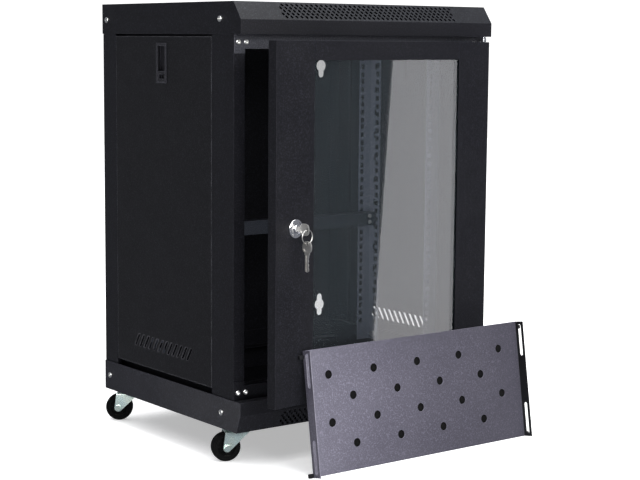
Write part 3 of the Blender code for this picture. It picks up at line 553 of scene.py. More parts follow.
def local_box(node_name, matrix):
    """Lowest and highest corners of a CAD node in the coordinates that the matrix leads from."""
    inverse = matrix.inverted()
    points = [inverse @ v.co for v in NODES[node_name].data.vertices]
    low = Vector([min(p[i] for p in points) for i in range(3)])
    high = Vector([max(p[i] for p in points) for i in range(3)])
    return low, high


def caster_matrix(corner):
    """Frame of one caster: Z up the swivel axis, X towards the wheel, origin on the base."""
    swivel = Vector(JOINTS[corner + "_swivel"]["pos_m"])
    axle = Vector(JOINTS[corner + "_wheel_spin"]["pos_m"])
    trail = axle - swivel
    return Matrix.Translation(swivel) @ Matrix.Rotation(math.atan2(trail.y, trail.x), 4, "Z")


# ---- sheet-metal nodes
def dress(node_name, material, rounding=EDGE_ROUNDING):
    """Keep a CAD node; give it its finish and slightly rounded edges."""
    obj = NODES[node_name]
    mesh = obj.data
    mesh.materials.clear()
    mesh.materials.append(material)
    if "custom_normal" in mesh.attributes:
        mesh.attributes.remove(mesh.attributes["custom_normal"])
    mesh.shade_flat()
    weld = obj.modifiers.new("weld", "WELD")
    weld.merge_threshold = 1e-5
    if rounding:
        edges = obj.modifiers.new("edges", "BEVEL")
        edges.width = rounding
        edges.segments = 2
        edges.limit_method = "ANGLE"
        edges.angle_limit = math.radians(30)


def chamfer_of(node_name, side):
    """Inner and outer edge of a cap's sloped front face, as (y, z) points.

    side is +1 for the top cover and -1 for the base tray.
    """
    low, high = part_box(node_name)
    outer_z = high.z if side > 0 else low.z
    points = [v.co for v in NODES[node_name].data.vertices]
    on_outer = min(p.y for p in points if abs(p.z - outer_z) < 1e-5)
    front = [p.z for p in points if abs(p.y - low.y) < 1e-5]
    on_front = max(front) if side > 0 else min(front)
    return Vector((low.y, on_front)), Vector((on_outer, outer_z))


def vented_cap(node_name, side, material, slope_material):
    """Cap with rounded folds and staggered slanted slots through its sloped face."""
    builder = copy_of(node_name)
    round_edges(builder, EDGE_ROUNDING)
    cap = finish_mesh(node_name + "_vented", builder, material)
    lower, upper = chamfer_of(node_name, side)
    if side < 0:
        lower, upper = upper, lower
    slope = upper - lower
    outward = Vector((0, -slope.y, slope.x))
    cutter = bmesh.new()
    outline = stadium(*VENT_SLOT, VENT_LEAN)
    for row in range(VENT_ROWS):
        share = 0.5 + VENT_SPREAD * (row / (VENT_ROWS - 1) - 0.5)
        centre = lower + slope * share
        stagger = (0.5 - row % 2) * VENT_PITCH / 2
        for column in range(VENT_COLUMNS):
            x = (column - (VENT_COLUMNS - 1) / 2) * VENT_PITCH + stagger
            place = frame_towards((x, centre.x, centre.y), outward)
            add_prism(cutter, outline, -2 * SHEET, SHEET, place)
    carve(cap, cutter, flat=True)
    # The sloped face takes the second material; on the top cover that is a lighter coat, painted light.
    cap.data.materials.append(slope_material)
    outward.normalize()
    for face in cap.data.polygons:
        if face.normal.dot(outward) > 0.99:
            face.material_index = 1
    return mount_piece(cap, "cabinet", SLOT_OF[node_name], node_name)


def seamed_door(material):
    """Door frame with the fine seams where its top and bottom rails meet the stiles."""
    builder = copy_of("door_frame")
    round_edges(builder, DOOR_ROUNDING)
    door = finish_mesh("door_frame_seamed", builder, material)
    low, high = local_box("door_frame", DOOR)
    glass_low, glass_high = local_box("door_glass", DOOR)
    inset = window_inset()
    cutter = bmesh.new()
    width, depth = SEAM
    for x in (glass_low.x + inset, glass_high.x - inset):
        outline = rectangle(width, depth + SHEET, x, low.y + (depth - SHEET) / 2)
        add_prism(cutter, outline, low.z - SHEET, glass_low.z + inset - SHEET, DOOR)
        add_prism(cutter, outline, glass_high.z - inset + SHEET, high.z + SHEET, DOOR)
    carve(door, cutter, flat=True)
    return mount_piece(door, "door", SLOT_OF["door_frame"], "door_frame")


def window_inset():
    """How far the glass reaches under the door frame on each side of the window."""
    gasket_low, _ = local_box("glass_gasket", DOOR)
    glass_low, _ = local_box("door_glass", DOOR)
    return gasket_low.x + GASKET_OVERLAP - glass_low.x


# ---- screws
def screw_parts(radius, height, recess):
    """Pan head with a cross recess, as a mesh about +Z with its seat at zero."""
    profile = [(0, 0), (radius, 0), (radius, 0.3 * height)]
    for i in range(1, 7):
        turn = math.pi / 2 * i / 6
        profile.append((radius * (0.45 + 0.55 * math.cos(turn)), height * (0.3 + 0.7 * math.sin(turn))))
    profile.append((0, height))
    head = turned_piece("head", profile, segments=24)
    length, width = recess
    for sides in ((length, width), (width, length)):
        cutter = bmesh.new()
        add_prism(cutter, rectangle(*sides), 0.25 * height, 2 * height)
        carve(head, cutter)
    return head


def socket_parts(radius, height):
    """Turned head with a wide hexagon socket, as a mesh about +Z with its seat at zero."""
    profile = [(0, 0), (radius, 0), (radius, 0.7 * height), (0.85 * radius, height), (0, height)]
    head = turned_piece("head", profile, segments=24)
    cutter = bmesh.new()
    add_prism(cutter, polygon(0.5 * radius, 6), 0.15 * height, 2 * height)
    return carve(head, cutter)


def hex_parts(across, height):
    """Hexagon head or nut about +Z, with its corners turned off."""
    radius = across / math.sqrt(3)
    builder = bmesh.new()
    add_prism(builder, polygon(radius, 6), 0, height)
    head = finish_mesh("hex", builder, None)
    cone = bmesh.new()
    add_lathe(cone, [
        (0, -height), (1.3 * radius, -height), (1.3 * radius, 0.45 * height),
        (0.5 * across, 1.02 * height), (0, 1.02 * height),
    ], segments=36)
    return carve(head, cone, "INTERSECT")


def place_copies(name, template, places, material):
    """Join a copy of the template at each place into one piece of the cabinet."""
    builder = bmesh.new()
    for place in places:
        add_copy(builder, template, place)
    return mount_piece(finish_mesh(name, builder, material), "cabinet", "zinc")


def add_copy(builder, template, place):
    start = len(builder.verts)
    builder.from_mesh(template.data)
    builder.verts.ensure_lookup_table()
    bmesh.ops.transform(builder, matrix=place, verts=builder.verts[start:])


def spun(place, turn):
    return place @ Matrix.Rotation(turn, 4, "Z")


def cabinet_screws(material):
    """Screws of the caps, the front beams, the rear panel and the crossbar; nuts of the cable covers."""
    big = screw_parts(5.2 * MM, 2.6 * MM, (5.2 * MM, 1.2 * MM))
    small = screw_parts(4.0 * MM, 2.2 * MM, (4.2 * MM, 1.1 * MM))
    socket_head = socket_parts(4.3 * MM, 2.4 * MM)
    places = []
    for cap_name, (depths, lift) in CAP_SCREWS.items():
        low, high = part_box(cap_name)
        z = low.z + lift if lift > 0 else high.z + lift
        for side, x in ((-1, low.x), (1, high.x)):
            for i, depth in enumerate(depths):
                place = frame_towards((x, low.y + depth, z), (side, 0, 0))
                places.append(spun(place, 0.7 * i + side + lift * 40))
    place_copies("cap_side_screws", big, places, material)
    places = []
    for beam_name in ("top_front_beam", "bottom_front_beam"):
        low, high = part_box(beam_name)
        z = low.z + BEAM_SCREW_INSET if low.z > 0 else high.z - BEAM_SCREW_INSET
        for side, x in ((1, low.x), (-1, high.x)):
            for i, along in enumerate(BEAM_SCREWS):
                place = frame_towards((x + side * along, low.y, z), (0, -1, 0))
                places.append(spun(place, 0.9 * i + side + z * 7))
    place_copies("front_beam_screws", socket_head, places, material)
    low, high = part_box("rear_panel")
    from_side, from_end = REAR_SCREW_INSET
    pitch = (high.z - low.z - 2 * from_end) / (REAR_SCREWS_PER_SIDE - 1)
    places = []
    for x in (low.x + from_side, high.x - from_side):
        for i in range(REAR_SCREWS_PER_SIDE):
            place = frame_towards((x, high.y, low.z + from_end + i * pitch), (0, 1, 0))
            places.append(spun(place, 0.8 * i + x * 9))
    place_copies("rear_panel_screws", small, places, material)
    low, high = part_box("rear_crossbar")
    places = []
    for x in (low.x + CROSSBAR_SCREW_INSET, high.x - CROSSBAR_SCREW_INSET):
        for lift in CROSSBAR_SCREW_LIFTS:
            places.append(frame_towards((x, low.y, low.z + lift), (0, -1, 0)))
    place_copies("crossbar_screws", small, places, material)
    places = []
    for cover_name, outward in (("top_cable_cover", 1), ("bottom_cable_cover", -1)):
        low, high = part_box(cover_name)
        z = low.z if outward > 0 else high.z
        for x, y in inset_corners(low, high, COVER_NUT_INSET):
            places.append(frame_towards((x, y, z), (0, 0, -outward), (0, 1, 0)))
    place_copies("cable_cover_nuts", hex_template(5.5 * MM, 2.4 * MM), places, material)
    for template in (big, small, socket_head):
        bpy.data.objects.remove(template)


def inset_corners(low, high, inset):
    """The four (x, y) corners of a box, each moved inwards."""
    return [(x, y) for x in (low.x + inset, high.x - inset) for y in (low.y + inset, high.y - inset)]


HEX_TEMPLATES = {}


def hex_template(across, height):
    if (across, height) not in HEX_TEMPLATES:
        HEX_TEMPLATES[(across, height)] = hex_parts(across, height)
    return HEX_TEMPLATES[(across, height)]


def rail_hardware(material):
    """Bolts that hold each rail's side flange to the side beams."""
    places = []
    for rail_name in ("front_left_rail", "front_right_rail", "rear_left_rail", "rear_right_rail"):
        low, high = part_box(rail_name)
        inward = 1 if low.x < 0 else -1
        face_x = (low.x if inward > 0 else high.x) + inward * RAIL_SHEET
        y = (low.y + high.y) / 2
        for z in (low.z + RAIL_BOLT_INSET, high.z - RAIL_BOLT_INSET):
            places.append(frame_towards((face_x, y, z), (inward, 0, 0)))
    place_copies("rail_bolts", hex_template(10 * MM, 4 * MM), places, material)


def holed_rail(rail_name, material):
    """Rail with the row of square holes that runs down its side flange."""
    rail = finish_mesh(rail_name + "_holed", copy_of(rail_name), material)
    low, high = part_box(rail_name)
    outer_x = high.x if low.x > 0 else low.x
    is_front = low.y < (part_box("front_left_rail")[1].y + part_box("rear_left_rail")[0].y) / 2
    y = high.y - FLANGE_HOLE_INSET if is_front else low.y + FLANGE_HOLE_INSET
    plain_ends = 40 * MM
    count = int((high.z - low.z - plain_ends) / FLANGE_HOLE_PITCH)
    middle = (low.z + high.z) / 2
    cutter = bmesh.new()
    for i in range(count):
        z = middle + (i - (count - 1) / 2) * FLANGE_HOLE_PITCH
        place = frame_towards((outer_x, y, z), (1, 0, 0))
        add_prism(cutter, rectangle(*FLANGE_HOLE), -2 * RAIL_SHEET, 2 * RAIL_SHEET, place)
    carve(rail, cutter, flat=True)
    return mount_piece(rail, "cabinet", SLOT_OF[rail_name], rail_name)


# ---- casters
def fork_piece(corner, material):
    """Pressed fork: a channel with rounded bends, trimmed to the fork's side view."""
    place = caster_matrix(corner)
    low, high = local_box(corner + "_caster_fork", place)
    wheel_low, wheel_high = local_box(corner + "_wheel", place)
    axle = (wheel_low + wheel_high) / 2
    half = high.y
    arcs = []
    for side in (1, -1):
        for inset in (0, FORK_SHEET):
            reach, radius, top = half - inset, FORK_BEND - inset, FORK_CROWN - inset
            bend = arc(reach - radius, top - radius, radius, 0, math.pi / 2, 4)
            arcs.append([(side * x, y) for x, y in [(reach, low.z - FORK_SHEET)] + bend])
    section = arcs[0] + arcs[2][::-1] + arcs[3] + arcs[1][::-1]
    builder = bmesh.new()
    along = place @ Matrix(((0, 0, 1, 0), (1, 0, 0, 0), (0, 1, 0, 0), (0, 0, 0, 1)))
    add_prism(builder, section, low.x - FORK_SHEET, high.x + FORK_SHEET, along)
    fork = finish_mesh(corner + "_fork_pressed", builder, material)
    above = FORK_CROWN + FORK_SHEET
    shoulder = FORK_CROWN - 1 * MM
    crown_end = axle.x + 3 * MM
    end = arc(axle.x, axle.z, FORK_END_RADIUS, math.radians(-140), math.radians(160), 12)
    silhouette = [(low.x, above), (low.x, shoulder), *end, (crown_end, shoulder), (crown_end, above)]
    trim = bmesh.new()
    sideways = place @ Matrix(((1, 0, 0, 0), (0, 0, -1, 0), (0, 1, 0, 0), (0, 0, 0, 1)))
    add_prism(trim, silhouette, -2 * half, 2 * half, sideways)
    carve(fork, trim, "INTERSECT")
    return mount_piece(fork, corner + "_fork", "zinc", corner + "_caster_fork")


def swivel_race(corner, material):
    """Ball race between the fork and the plate, with its rivet."""
    place = caster_matrix(corner)
    plate_low, _ = local_box(corner + "_caster_plate", place)
    top = plate_low.z - 0.3 * MM
    bottom = FORK_CROWN
    rivet = bottom - FORK_SHEET
    builder = bmesh.new()
    add_lathe(builder, [
        (0, top), (13 * MM, top), (14.6 * MM, top - 0.5 * MM), (15.4 * MM, top - 1.4 * MM),
        (15.2 * MM, bottom + 1.2 * MM), (16 * MM, bottom + 0.8 * MM), (16 * MM, bottom), (0, bottom),
    ], place)
    add_lathe(builder, [
        (0, rivet), (6 * MM, rivet), (6 * MM, rivet - 1 * MM), (4.5 * MM, rivet - 2.4 * MM),
        (0, rivet - 2.8 * MM),
    ], place)
    return mount_piece(finish_mesh(corner + "_race", builder, material), corner + "_fork", "zinc")


def axle_piece(corner, material):
    """Hexagon bolt through the fork and the wheel, with a nut on its far end."""
    place = caster_matrix(corner)
    fork_low, fork_high = local_box(corner + "_caster_fork", place)
    wheel_low, wheel_high = local_box(corner + "_wheel", place)
    axle = (wheel_low + wheel_high) / 2
    near = place @ Vector((axle.x, fork_high.y + 0.2 * MM, axle.z))
    far = place @ Vector((axle.x, fork_low.y - 0.2 * MM, axle.z))
    outward = place.to_3x3() @ Vector((0, 1, 0))
    length = fork_high.y - fork_low.y
    thread = [(0, -3.6 * MM), (2.4 * MM, -3.6 * MM), (3 * MM, -3.1 * MM), (3 * MM, length), (0, length)]
    washer = [(0, 0), (6.2 * MM, 0), (6.2 * MM, 0.6 * MM), (0, 0.6 * MM)]
    builder = bmesh.new()
    add_lathe(builder, thread, frame_towards(far, outward), 24)
    for spot, direction, height in ((near, outward, 3.2 * MM), (far, -outward, 2.8 * MM)):
        seat = frame_towards(spot, direction)
        add_lathe(builder, washer, seat, 32)
        add_copy(builder, hex_template(10 * MM, height), seat @ Matrix.Translation((0, 0, 0.5 * MM)))
    piece = finish_mesh(corner + "_axle_hardware", builder, material)
    return mount_piece(piece, corner + "_fork", "zinc", corner + "_axle_bolt")


def wheel_piece(corner, material):
    """Wheel with a crowned tread, a grooved flank, a dished web, ribs and a hub."""
    place = caster_matrix(corner)
    low, high = local_box(corner + "_wheel", place)
    centre = (low + high) / 2
    radius = (high.z - low.z) / 2
    half = (high.y - low.y) / 2
    flank = [
        (3.4 * MM, half + 1.2 * MM), (6.6 * MM, half + 1.2 * MM), (7.4 * MM, half + 0.5 * MM),
        (7.8 * MM, half - 2.4 * MM), (14.5 * MM, half - 3.0 * MM), (15.6 * MM, half - 0.6 * MM),
        (16.2 * MM, half), (19.2 * MM, half), (19.6 * MM, half - 0.7 * MM), (20.2 * MM, half - 0.7 * MM),
        (20.6 * MM, half - 0.1 * MM), (radius - 2.6 * MM, half - 0.1 * MM),
    ]
    shoulder = arc(radius - 2.6 * MM, half - 2.3 * MM, 2.2 * MM, math.pi / 2, -math.pi / 2, 5)
    flank += [*shoulder[1:], (radius, 0.0)]
    mirrored_flank = [(r, -h) for r, h in reversed(flank[:-1])]
    builder = bmesh.new()
    axle = frame_towards(place @ centre, place.to_3x3() @ Vector((0, 1, 0)))
    add_lathe(builder, flank + mirrored_flank, axle, 72)
    for i in range(6):
        rib = axle @ Matrix.Rotation(i * math.pi / 3, 4, "Z")
        add_prism(builder, rectangle(8 * MM, 1.8 * MM, 11 * MM), -(half - 1.4 * MM), half - 1.4 * MM, rib)
    wheel = finish_mesh(corner + "_wheel_moulded", builder, material)
    return mount_piece(wheel, corner + "_wheel", "rubber", corner + "_wheel")


def plate_bolts(material):
    places = []
    for corner in CORNERS:
        low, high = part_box(corner + "_caster_plate")
        for x, y in inset_corners(low, high, PLATE_BOLT_INSET):
            places.append(spun(frame_towards((x, y, low.z), (0, 0, -1), (0, 1, 0)), 31 * x + 17 * y))
    place_copies("caster_plate_bolts", hex_template(6.5 * MM, 2.6 * MM), places, material)


# ---- lock and keys
def lock_frame():
    """Frame on the lock's axis: Z points out of the door, Y points up, origin on the door face."""
    low, high = local_box("lock_housing", DOOR)
    door_low, _ = local_box("door_frame", DOOR)
    centre = Vector(((low.x + high.x) / 2, door_low.y, (low.z + high.z) / 2))
    outward = DOOR.to_3x3() @ Vector((0, -1, 0))
    return frame_towards(DOOR @ centre, outward)


def bezel_piece(material):
    low, high = local_box("lock_housing", DOOR)
    radius = (high.x - low.x) / 2
    back = -(high.y - local_box("door_frame", DOOR)[0].y)
    profile = [
        (LOCK_BORE, back), (LOCK_BARREL, back), (LOCK_BARREL, 0), (radius - 0.4 * MM, 0), (radius, 0.3 * MM),
        (radius, 0.9 * MM), (radius - 0.5 * MM, 1.5 * MM), (radius - 1.8 * MM, 2.2 * MM),
        (radius - 3.6 * MM, 2.75 * MM), (radius - 5.4 * MM, 3.0 * MM), (9.2 * MM, 3.0 * MM),
        (8.7 * MM, 2.7 * MM), (8.3 * MM, 1.9 * MM), (7.6 * MM, 1.7 * MM), (LOCK_BORE, 1.7 * MM),
    ]
    piece = turned_piece("lock_bezel_turned", profile, material, lock_frame(), 64, 40)
    return mount_piece(piece, "door", "chrome", "lock_housing")


def nut_piece(material):
    """Large nut and washer that clamp the lock's barrel behind the door sheet."""
    back_of_sheet = Matrix.Translation((0, 0, -SHEET - 0.3 * MM))
    behind = lock_frame() @ back_of_sheet @ Matrix.Rotation(math.pi, 4, "X")
    bore = LOCK_BARREL + 0.3 * MM
    builder = bmesh.new()
    add_lathe(builder, [(bore, 0), (14.5 * MM, 0), (14.5 * MM, 1 * MM), (bore, 1 * MM)], behind, 40)
    add_prism(builder, polygon(12.7 * MM, 6), 1.1 * MM, 5 * MM, behind)
    nut = finish_mesh("lock_nut", builder, material)
    cutter = bmesh.new()
    add_lathe(cutter, [(0, 1.05 * MM), (bore, 1.05 * MM), (bore, 8 * MM), (0, 8 * MM)], behind, 40)
    carve(nut, cutter)
    return mount_piece(nut, "door", "zinc")


def plug_piece(material):
    """Lock plug with a dished face and a keyway."""
    place = lock_frame()
    low, high = local_box("lock_plug", DOOR)
    door_front = local_box("door_frame", DOOR)[0].y
    front = door_front - low.y
    back = door_front - high.y
    radius = (high.x - low.x) / 2
    plug = turned_piece("lock_plug_turned", [
        (0, back), (radius, back), (radius, 0.9 * MM), (radius - 0.1 * MM, front - 0.9 * MM),
        (radius - 0.5 * MM, front - 0.3 * MM), (radius - 1.2 * MM, front),
        (3.9 * MM, front), (3.6 * MM, front - 0.25 * MM), (0, front - 0.25 * MM),
    ], material, place)
    keyway = bmesh.new()
    add_prism(keyway, rectangle(2.5 * MM, 8.4 * MM), front - 14 * MM, front + MM, place)
    carve(plug, keyway)
    return mount_piece(plug, "lock", "chrome", "lock_plug")


def key_piece(node_name, material, bow_centre, along, length, body):
    """Flat cylinder key: bow with a raised rim, shouldered blade with cuts and a milled groove.

    bow_centre is a (y, z) point of the closed door, along the direction from bow to tip.
    """
    low, high = local_box(node_name, DOOR)
    middle_x = (low.x + high.x) / 2
    half = (high.x - low.x) / 2
    direction = Vector(along)
    across = Vector((-direction.y, direction.x))
    from_side = DOOR @ Matrix(((0, 0, 1, 0), (1, 0, 0, 0), (0, 1, 0, 0), (0, 0, 0, 1)))

    def extrude(builder, outline, low_x, high_x):
        """Add a prism; its outline is in distances along the key and offsets across it."""
        points = [Vector(bow_centre) + direction * d + across * offset for d, offset in outline]
        add_prism(builder, points, low_x, high_x, from_side)

    blade, shoulder = 3.9 * MM, 5.2 * MM
    neck, blade_start = BOW_RADIUS + 1.5 * MM, BOW_RADIUS + 1.8 * MM
    tip = BOW_RADIUS + length
    start_turn = math.asin(shoulder / BOW_RADIUS)
    outline = []
    steps = 36
    for i in range(steps + 1):
        turn = start_turn + (2 * math.pi - 2 * start_turn) * i / steps
        squash = 1.0 + 0.06 * math.cos(2 * turn)
        outline.append((
            BOW_RADIUS * math.cos(turn) / squash, BOW_RADIUS * math.sin(turn) * min(squash, 1.0),
        ))
    outline += [(neck, -shoulder), (blade_start, -blade)]
    first_cut = BOW_RADIUS + 4 * MM
    pitch = (tip - 3 * MM - first_cut) / len(KEY_CUTS)
    for i, depth in enumerate(KEY_CUTS):
        for share in (0.25, 0.6):
            outline.append((first_cut + (i + share) * pitch, depth * MM - blade))
    outline += [
        (tip - 1.6 * MM, -blade + 0.6 * MM), (tip, -0.6 * MM), (tip, 0.6 * MM), (tip - 2.4 * MM, blade),
        (blade_start, blade), (neck, shoulder),
    ]
    builder = bmesh.new()
    extrude(builder, outline, middle_x - half, middle_x + half)
    round_edges(builder, 0.22 * MM, 2, 60)
    key = finish_mesh(node_name + "_cut", builder, material)
    hole = [(x - 6 * MM, y) for x, y in polygon(2.8 * MM, 24)]
    cutter = bmesh.new()
    extrude(cutter, hole, middle_x - 2 * half, middle_x + 2 * half)
    carve(key, cutter)
    groove = rectangle(tip - BOW_RADIUS - 1 * MM, 1.3 * MM, (tip + BOW_RADIUS + 3 * MM) / 2, 1.05 * MM)
    pad = [(2.6 * MM + 5.2 * x, 6.4 * y) for x, y in polygon(MM, 24)]
    cutter = bmesh.new()
    for side in (-1, 1):
        face = middle_x + side * half
        extrude(cutter, groove, *sorted((face - side * 0.45 * MM, face + side * MM)))
        extrude(cutter, pad, *sorted((face - side * 0.25 * MM, face + side * MM)))
    carve(key, cutter)
    return mount_piece(key, body, "chrome", node_name)


def split_ring(material):
    """Split ring: flattened wire wound a little over two turns."""
    pivot = Vector(JOINTS["key_ring_swing"]["pos_m"])
    low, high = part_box("key_ring")
    wire = RING_WIRE
    radius = (high.z - low.z) / 2 - wire
    centre = Vector((pivot.x, pivot.y, (low.z + high.z) / 2))
    outward = DOOR.to_3x3() @ Vector((0, -1, 0))
    place = frame_towards(centre, outward)
    turns, steps, sides = 2.1, 130, 8
    builder = bmesh.new()
    rings = []
    for i in range(steps + 1):
        share = i / steps
        turn = 2 * math.pi * turns * share + 1.9
        lift = (share - 0.5) * 2 * wire * turns * 0.55
        lift = max(-wire, min(wire, lift * 1.4))
        ring = []
        for out, up in polygon(wire, sides):
            reach = radius + out
            point = Vector((reach * math.cos(turn), reach * math.sin(turn), lift + up))
            ring.append(builder.verts.new(place @ point))
        rings.append(ring)
    for first, second in zip(rings, rings[1:]):
        for j in range(sides):
            k = (j + 1) % sides
            builder.faces.new((first[j], first[k], second[k], second[j]))
    builder.faces.new(rings[0])
    builder.faces.new(rings[-1])
    return mount_piece(finish_mesh("key_ring_split", builder, material, 50), "key_ring", "zinc", "key_ring")


def lock_pieces(materials):
    bezel_piece(materials["chrome"])
    nut_piece(materials["zinc"])
    plug_piece(materials["chrome"])
    low, high = local_box("key", DOOR)
    bow_centre = (low.y + BOW_RADIUS, (low.z + high.z) / 2)
    key_piece("key", materials["nickel"], bow_centre, (1, 0), high.y - low.y - 2 * BOW_RADIUS, "lock")
    low, high = local_box("spare_key", DOOR)
    bow_centre = ((low.y + high.y) / 2, high.z - BOW_RADIUS)
    length = high.z - low.z - 2 * BOW_RADIUS
    key_piece("spare_key", materials["nickel"], bow_centre, (0, -1), length, "spare_key")
    split_ring(materials["nickel"])


# ---- hinge
def hinge_pieces(materials):
    """Turned spacer, and the bottom pin with its collar, at the door's hinge corner."""
    hinge = Vector(JOINTS["door_hinge"]["pos_m"])
    on_axis = Matrix.Translation((hinge.x, hinge.y, 0))
    low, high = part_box("hinge_spacer")
    radius = (high.x - low.x) / 2
    groove = radius - 1.1 * MM
    spacer = turned_piece("hinge_spacer_turned", [
        (HINGE_BORE, low.z), (radius - 0.3 * MM, low.z), (radius, low.z + 0.3 * MM),
        (radius, high.z - 2.6 * MM), (groove, high.z - 2.2 * MM), (groove, high.z), (HINGE_BORE, high.z),
    ], materials["chrome"], on_axis)
    mount_piece(spacer, "door", "chrome", "hinge_spacer")
    low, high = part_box("bottom_hinge_pin")
    builder = bmesh.new()
    add_lathe(builder, [
        (0, low.z), (HINGE_PIN - 0.8 * MM, low.z), (HINGE_PIN, low.z + 0.8 * MM),
        (HINGE_PIN, high.z - 0.5 * MM), (HINGE_PIN - 0.5 * MM, high.z), (0, high.z),
    ], on_axis, 32)
    door_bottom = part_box("door_frame")[0].z
    collar = 4.6 * MM
    bottom, top = door_bottom - 2.6 * MM, door_bottom - 0.3 * MM
    add_lathe(builder, [(HINGE_PIN, bottom), (collar, bottom), (collar, top), (HINGE_PIN, top)], on_axis, 32)
    piece = finish_mesh("bottom_hinge_pin_turned", builder, materials["zinc"])
    mount_piece(piece, "door", "zinc", "bottom_hinge_pin")


# ---- latches
def latch_ribs(side_name, material):
    """Grip ribs across the thumb slide."""
    low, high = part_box(side_name + "_latch_slide")
    outward = -1 if low.x < 0 else 1
    face = low.x if outward < 0 else high.x
    builder = bmesh.new()
    for i in range(4):
        z = low.z + 6 * MM + i * 2.2 * MM
        centre = Vector((face - outward * 5 * MM, (low.y + high.y) / 2, z))
        place = frame_towards(centre, (outward, 0, 0))
        add_prism(builder, rounded_box(7 * MM, 0.9 * MM, 0.4 * MM), -0.5 * MM, 0.8 * MM, place)
    piece = finish_mesh(side_name + "_latch_ribs", builder, material)
    return mount_piece(piece, side_name + "_latch", "black_plastic")


# ---- loose shelf
def shelf_matrix():
    """Frame of the shelf's tray: X along it, Y up its slope, Z out of its flanged side."""
    points = [v.co for v in NODES["rack_shelf"].data.vertices]
    faces = sorted(NODES["rack_shelf"].data.polygons, key=lambda face: -face.area)
    normal = faces[0].normal.copy()
    along = Vector((-normal.y, normal.x, 0)).normalized()
    if along.x < 0:
        along.negate()
    up = normal.cross(along)
    if up.z < 0:
        normal.negate()
        up.negate()
    turned = Matrix((along, up, normal)).transposed().to_4x4()
    inverse = turned.inverted()
    local = [inverse @ p for p in points]
    corner = Vector([min(p[i] for p in local) for i in range(3)])
    return turned @ Matrix.Translation(corner)


def shelf_pieces(materials):
    """Black sheet behind the tray that paints shade into its holes, and caps on its four ears."""
    place = shelf_matrix()
    low, high = local_box("rack_shelf", place)
    width = high.x - low.x - 2 * SHELF_EAR_REACH
    height = high.y - low.y
    middle_x = (low.x + high.x) / 2
    edge = SHEET + MM
    builder = bmesh.new()
    # Painted shade: a black sheet behind the tray, seen dark through its holes.
    outline = rounded_box(width - 2 * edge, height - 2 * edge, 6 * MM)
    behind = place @ Matrix.Translation((middle_x, (low.y + high.y) / 2, 0))
    add_prism(builder, outline, *SHELF_SHADE_SHEET, behind)
    shade_sheet = finish_mesh("shelf_painted_shade_sheet", builder, materials["rubber"])
    mount_piece(shade_sheet, "shelf", "rubber")
    length, cap_height, thickness = SHELF_CAP
    outline = rounded_box(length, cap_height, 1.2 * MM)
    builder = bmesh.new()
    for side in (-1, 1):
        x = middle_x + side * (width + SHELF_EAR_REACH + 0.9 * MM) / 2
        for y in (low.y + SHELF_CAP_ENDS[0], high.y - SHELF_CAP_ENDS[1]):
            spot = place @ Matrix.Translation((x, y, SHEET / 2))
            add_prism(builder, outline, -thickness / 2, thickness / 2, spot)
    round_edges(builder, 0.4 * MM)
    caps = finish_mesh("shelf_ear_caps", builder, materials["black_plastic"])
    mount_piece(caps, "shelf", "black_plastic")
    for obj in (NODES["rack_shelf"], shade_sheet, caps):
        obj.visible_glossy = False


def shade_far_flange(material):
    """Painted shade on the far flange of the shelf: its faces get a darker coat, which stands in for the flange's
    own shadow.
    """
    shelf = NODES["rack_shelf"]
    place = shelf_matrix()
    _, high = local_box("rack_shelf", place)
    inverse = place.inverted()
    shelf.data.materials.append(material)
    for face in shelf.data.polygons:
        centre = inverse @ face.center
        if centre.x > high.x - SHELF_EAR_REACH - 2 * MM and centre.z > SHEET:
            face.material_index = 1


# ---- studio
def make_camera():
    data = bpy.data.cameras.new("camera")
    data.lens = CAMERA_LENS_MM
    data.sensor_width = CAMERA_SENSOR_MM
    data.clip_end = 60
    camera = add_object("camera", data)
    level = Matrix.Rotation(-CAMERA_AZIMUTH, 4, "Z") @ Matrix.Rotation(math.pi / 2 - CAMERA_DIP, 4, "X")
    camera.matrix_world = Matrix.Translation(CAMERA_PLACE) @ level @ Matrix.Rotation(CAMERA_ROLL, 4, "Z")
    bpy.context.scene.camera = camera


def make_floor():
    builder = bmesh.new()
    outline = rounded_box(FLOOR_SIZE, FLOOR_SIZE, 2.0, 8)
    add_prism(builder, outline, -0.02, 0, Matrix.Translation((0, 0, FLOOR_Z)))
    material, tree, shader, place = new_material("studio_floor")
    shade = noise(tree, place, 3, 3.0)
    base = blend_color(tree, remap(tree, shade, 0.3, 0.7), (0.86, 0.86, 0.86), (0.88, 0.88, 0.88))
    feed(shader, {
        "Base Color": base, "Roughness": 0.7, "Specular IOR Level": 0.2,
        "Emission Color": (1.0, 1.0, 1.0, 1.0), "Emission Strength": FLOOR_GLOW,
    })
    floor = finish_mesh("studio_floor", builder, material)
    floor.visible_glossy = False
    floor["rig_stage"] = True
    return floor


def make_world():
    """White to look at; dimmer as fill and in reflections, so that black paint stays black."""
    world = bpy.data.worlds.new("studio")
    world.use_nodes = True
    tree = world.node_tree
    background = tree.nodes["Background"]
    ray = node(tree, "ShaderNodeLightPath")
    level = blend_color(tree, ray.outputs["Is Glossy Ray"], WORLD_FILL, WORLD_REFLECTED)
    level = blend_color(tree, ray.outputs["Is Camera Ray"], level, (1.0, 1.0, 1.0))
    feed(background, {"Color": level, "Strength": WORLD_STRENGTH})
    bpy.context.scene.world = world


def add_softbox(name, place, target, size, power):
    data = bpy.data.lights.new(name, "AREA")
    data.shape = "RECTANGLE"
    data.size, data.size_y = size
    data.energy = power
    light = add_object(name, data)
    direction = Vector(target) - Vector(place)
    light.matrix_world = Matrix.Translation(place) @ direction.to_track_quat("-Z", "Y").to_matrix().to_4x4()
    light.visible_camera = False
    return light


def light_only(light, receivers):
    """Let a light or a glowing card light only these objects."""
    group = bpy.data.collections.new(light.name + "_receivers")
    for obj in receivers:
        group.objects.link(obj)
    light.light_linking.receiver_collection = group


